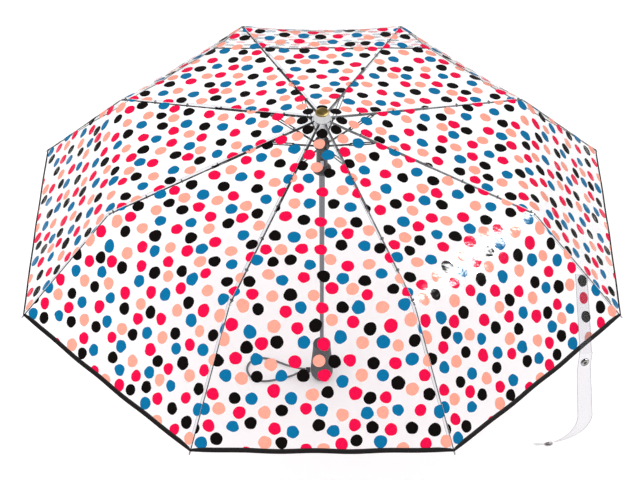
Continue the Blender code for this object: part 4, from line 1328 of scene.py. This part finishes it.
def strapFrame():
    # the panel's directions at the middle of its hem, as the part works them out
    azimuth = panelAzimuth(strap["panel"])
    outward = np.array([math.cos(azimuth), math.sin(azimuth), 0.0])
    sideways = np.array(sidewaysOf(azimuth))
    across = math.cos(halfSector)
    hem = outward * filmCorner[0] * across + np.array([0, 0, filmCorner[1]])
    knee = outward * filmKneeLine[0] * across + np.array([0, 0, filmKneeLine[1]])
    return outward, sideways, unit(knee - hem), hem


# the strap lies on the part's own film line, which its own two clearances give
_, filmKneeLine, filmCorner = filmLine(strap["lineAboveRib"], strap["lineAboveKnee"])


def strapLine():
    # the strap's centre line and crosswise direction: up the film, over the hem, down with a small lean while
    # it turns to face forwards, then round a curl of 95 degrees with a growing twist
    outward, sideways, uphill, hem = strapFrame()
    normal = np.cross(sideways, uphill)
    normal = normal if normal[2] > 0 else -normal
    upStrap = unit(uphill * math.cos(strap["slant"]) + sideways * math.sin(strap["slant"]))
    flatAcross = unit(np.cross(normal, upStrap))
    flatAcross = flatAcross if flatAcross[0] > 0 else -flatAcross
    foot = hem + sideways * strap["across"] + normal * strap["lift"]
    overhang = strap["width"] / 2 * math.tan(strap["slant"]) + strap["pastHem"]
    length = strap["upFilm"] / math.cos(strap["slant"])
    run = np.linspace(length, -overhang, 40)[:, None]
    centres, across = [foot + upStrap * run], [np.repeat(flatAcross[None], 40, 0)]
    start = foot - upStrap * (overhang + strap["gap"])
    down = np.array([0, 0, -1.0])
    edge = start - upStrap * strap["bend"] + down * strap["bend"]
    level = unit(flatAcross * [1, 1, 0])
    t = np.linspace(0, 1, 8)[1:, None]
    # the bend over the hem is a quadratic Bezier curve
    middle = start - upStrap * strap["bend"] * 0.8
    centres.append(start * (1 - t) ** 2 + middle * 2 * t * (1 - t) + edge * t**2)
    across.append(unit(flatAcross * (1 - t) + level * t))
    twistStart = math.atan2(level[1], level[0])
    flatDrop = 2 * strap["snapBelowHem"]
    falls = [np.linspace(0.5 * mm, flatDrop, 12)[:-1], np.linspace(flatDrop, strap["drop"], 40)]
    fall = np.concatenate(falls)[:, None]
    share = np.clip((fall - flatDrop) / (strap["drop"] - flatDrop), 0, 1)
    twist = twistStart + (strap["facing"] - twistStart) * share
    right, back = np.array([1.0, 0, 0]), np.array([0, 1.0, 0])
    centres.append(edge + down * fall + right * strap["lean"] * share)
    across.append(np.concatenate([np.cos(twist), np.sin(twist), 0 * twist], 1))
    pivot = centres[-1][-1] - right * strap["curlRadius"]
    t = np.linspace(0, 1, 40)[1:, None]
    angle = strap["curlTurn"] * t
    twist = strap["facing"] + (strap["twist"] - strap["facing"]) * t
    ray = right * np.cos(angle) + down * np.sin(angle)
    centres.append(pivot + ray * strap["curlRadius"])
    across.append(ray * np.cos(twist) + back * np.sin(twist))
    return np.concatenate(centres), unit(np.concatenate(across)), edge, level, start, outward


def clearStrap():
    # cut clear PVC strap: glossy, nearly colourless, with a greyer line where its cut edges catch the light
    made, tree = newMaterial("clear vinyl strap")
    sheet = addNode(tree, "ShaderNodeUVMap", {"uv_map": "flat"})
    place = addNode(tree, "ShaderNodeSeparateXYZ", None, {0: sheet.outputs[0]})
    line = addNode(
        tree, "ShaderNodeMath", {"operation": "LESS_THAN"}, {0: place.outputs[0], 1: strap["edgeWidth"]},
    )
    tint = addNode(tree, "ShaderNodeMix", {"data_type": "RGBA"}, {
        0: line.outputs[0], 6: hexColour(strap["tint"]), 7: hexColour(strap["edge"]),
    })
    where = addNode(tree, "ShaderNodeTexCoord")
    wave = addNode(
        tree, "ShaderNodeTexNoise", None,
        {"Vector": where.outputs["Object"], "Scale": 1 / 0.022, "Detail": 1.5},
    )
    bump = addNode(
        tree, "ShaderNodeBump", None, {"Height": wave.outputs[0], "Strength": 0.5, "Distance": 1.2 * mm},
    )
    clear = addNode(tree, "ShaderNodeBsdfTransparent", None, {"Color": tint.outputs[2]})
    milk = addNode(tree, "ShaderNodeBsdfDiffuse", None, {"Color": hexColour(strap["hazeColour"])})
    body = addNode(
        tree, "ShaderNodeMixShader", None, {0: strap["haze"], 1: clear.outputs[0], 2: milk.outputs[0]},
    )
    gloss = addNode(tree, "ShaderNodeBsdfGlossy", None, {"Roughness": 0.05, "Normal": bump.outputs[0]})
    mirror = thinMirror(tree, bump.outputs[0])
    finishMaterial(tree, addNode(tree, "ShaderNodeMixShader", None, {
        0: mirror.outputs[0], 1: body.outputs[0], 2: gloss.outputs[0],
    }))
    return made


def polishedChrome(name, colour, roughness):
    # chrome-plated brass: a sharp mirror, a little darker than silver
    made, tree = newMaterial(name)
    where = addNode(tree, "ShaderNodeTexCoord")
    wear = addNode(
        tree, "ShaderNodeTexNoise", None,
        {"Vector": where.outputs["Object"], "Scale": 1 / 0.002, "Detail": 3.0},
    )
    rough = addNode(tree, "ShaderNodeMapRange", None, {
        "Value": wear.outputs[0], "To Min": roughness, "To Max": roughness + 0.12,
    })
    finishMaterial(tree, addNode(tree, "ShaderNodeBsdfPrincipled", None, {
        "Base Color": hexColour(colour), "Metallic": 1.0, "Roughness": rough.outputs[0],
    }))
    return made


def makeStrap():
    centres, across, edge, level, start, outward = strapLine()
    forward = unit(np.gradient(centres, axis=0))
    off = unit(np.cross(across, forward))
    # the closed section: up one face, round the edge, down the other; widths as shares of the half width
    half, thick = strap["width"] / 2, strap["thickness"] / 2
    share = np.array([-1, -0.92, -0.5, 0, 0.5, 0.92, 1, 1, 0.92, 0.5, 0, -0.5, -0.92, -1])
    face = np.array([1] * 7 + [-1] * 7) * np.where(np.abs(share) == 1, 0.7, 1.0)
    points = centres[:, None] + across[:, None] * half * share[None, :, None] + off[:, None] * thick * face[
        None, :, None
    ]
    run = np.concatenate([[0], np.cumsum(np.linalg.norm(np.diff(centres, axis=0), axis=1))])
    fromEdge = np.append((1 - np.abs(share)) * half, 0.0)
    uv = np.stack(np.broadcast_arrays(fromEdge[None, :], run[:, None]), -1)
    mesh = gridMesh("clear_strap", points, uv, wrapColumns=True)
    capEnds(mesh, len(centres), len(share))
    piece = addPiece("clear_strap", mesh, clearStrap(), sharpAngle=60)
    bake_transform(piece)
    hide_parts("strap_tab", "closure_strap")
    chrome = polishedChrome("chrome plated snap", strap["chrome"], 0.1)
    dark = polishedChrome("dark snap centre", strap["snapDark"], 0.3)
    for name, node in (("snap_cap_dome", "snap_cap"), ("snap_socket_ring", "snap_socket")):
        low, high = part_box(node)
        middle = np.array((low + high) / 2)
        if node == "snap_cap":
            facing = unit(np.cross([0, 0, -1.0], level))
            facing = facing if facing @ outward > 0 else -facing
            at = edge + np.array([0, 0, -strap["snapBelowHem"]])
        else:
            nearest = np.argmin(np.linalg.norm(centres - middle, axis=1))
            facing = off[nearest]
            facing = -facing if facing[2] > 0 else facing
            at = middle - facing * (thick + strap["gap"] + strap["snapThickness"] / 2)
        base = thick + strap["gap"]
        radius = strap["snapRadius"]
        height = strap["snapThickness"] * (1 if node == "snap_cap" else strap["socketHeight"])
        if node == "snap_cap":
            # a pressed cap: a rolled rim, a shallow dish and a low raised middle
            outline = [
                (0, base + height * 0.86), (radius * 0.30, base + height * 0.80),
                (radius * 0.42, base + height * 0.62),
                (radius * 0.62, base + height * 0.66), (radius * 0.80, base + height * 0.98),
                (radius * 0.93, base + height * 0.8),
                (radius, base + height * 0.4), (radius * 0.97, base), (0, base),
            ]
        else:
            # a socket: a ring round a deep round hole
            outline = [
                (0, base + height * 0.25), (radius * 0.34, base + height * 0.25),
                (radius * 0.38, base + height * 0.98),
                (radius * 0.55, base + height), (radius * 0.70, base + height * 0.7),
                (radius * 0.92, base + height * 0.6),
                (radius, base + height * 0.3), (radius * 0.97, base), (0, base),
            ]
        xWay = unit(np.cross(facing, [0.3, 0.9, 0.2]))
        yWay = np.cross(facing, xWay)
        # the other half of the snap, riveted through from the strap's far side, is a plain low button
        back = [
            (0, -base - 1.8 * mm), (radius * 0.55, -base - 1.7 * mm), (radius * 0.9, -base - 0.8 * mm),
            (radius * 0.9, -base), (0, -base),
        ]
        mesh = joinMeshes(name, [
            turnedMesh(f"{name}_front", roundOff(outline, 0.5 * mm, 3), 48),
            turnedMesh(f"{name}_back", roundOff(back, 0.5 * mm, 3), 48),
        ])
        mesh = moveMesh(mesh, at, xWay, yWay, facing)
        made = addPiece(name, mesh, chrome, sharpAngle=60)
        made.data.materials.append(dark)
        centre = np.array([polygon.center for polygon in made.data.polygons]) - at
        reach = np.linalg.norm(centre - (centre @ facing)[:, None] * facing, axis=1)
        made.data.polygons.foreach_set("material_index", (reach < radius * 0.42).astype(np.int32))
        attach(made, "strap")
        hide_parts(node)
    print("closing strap", round(float(run[-1]), 3), "m long")


makeStrap()
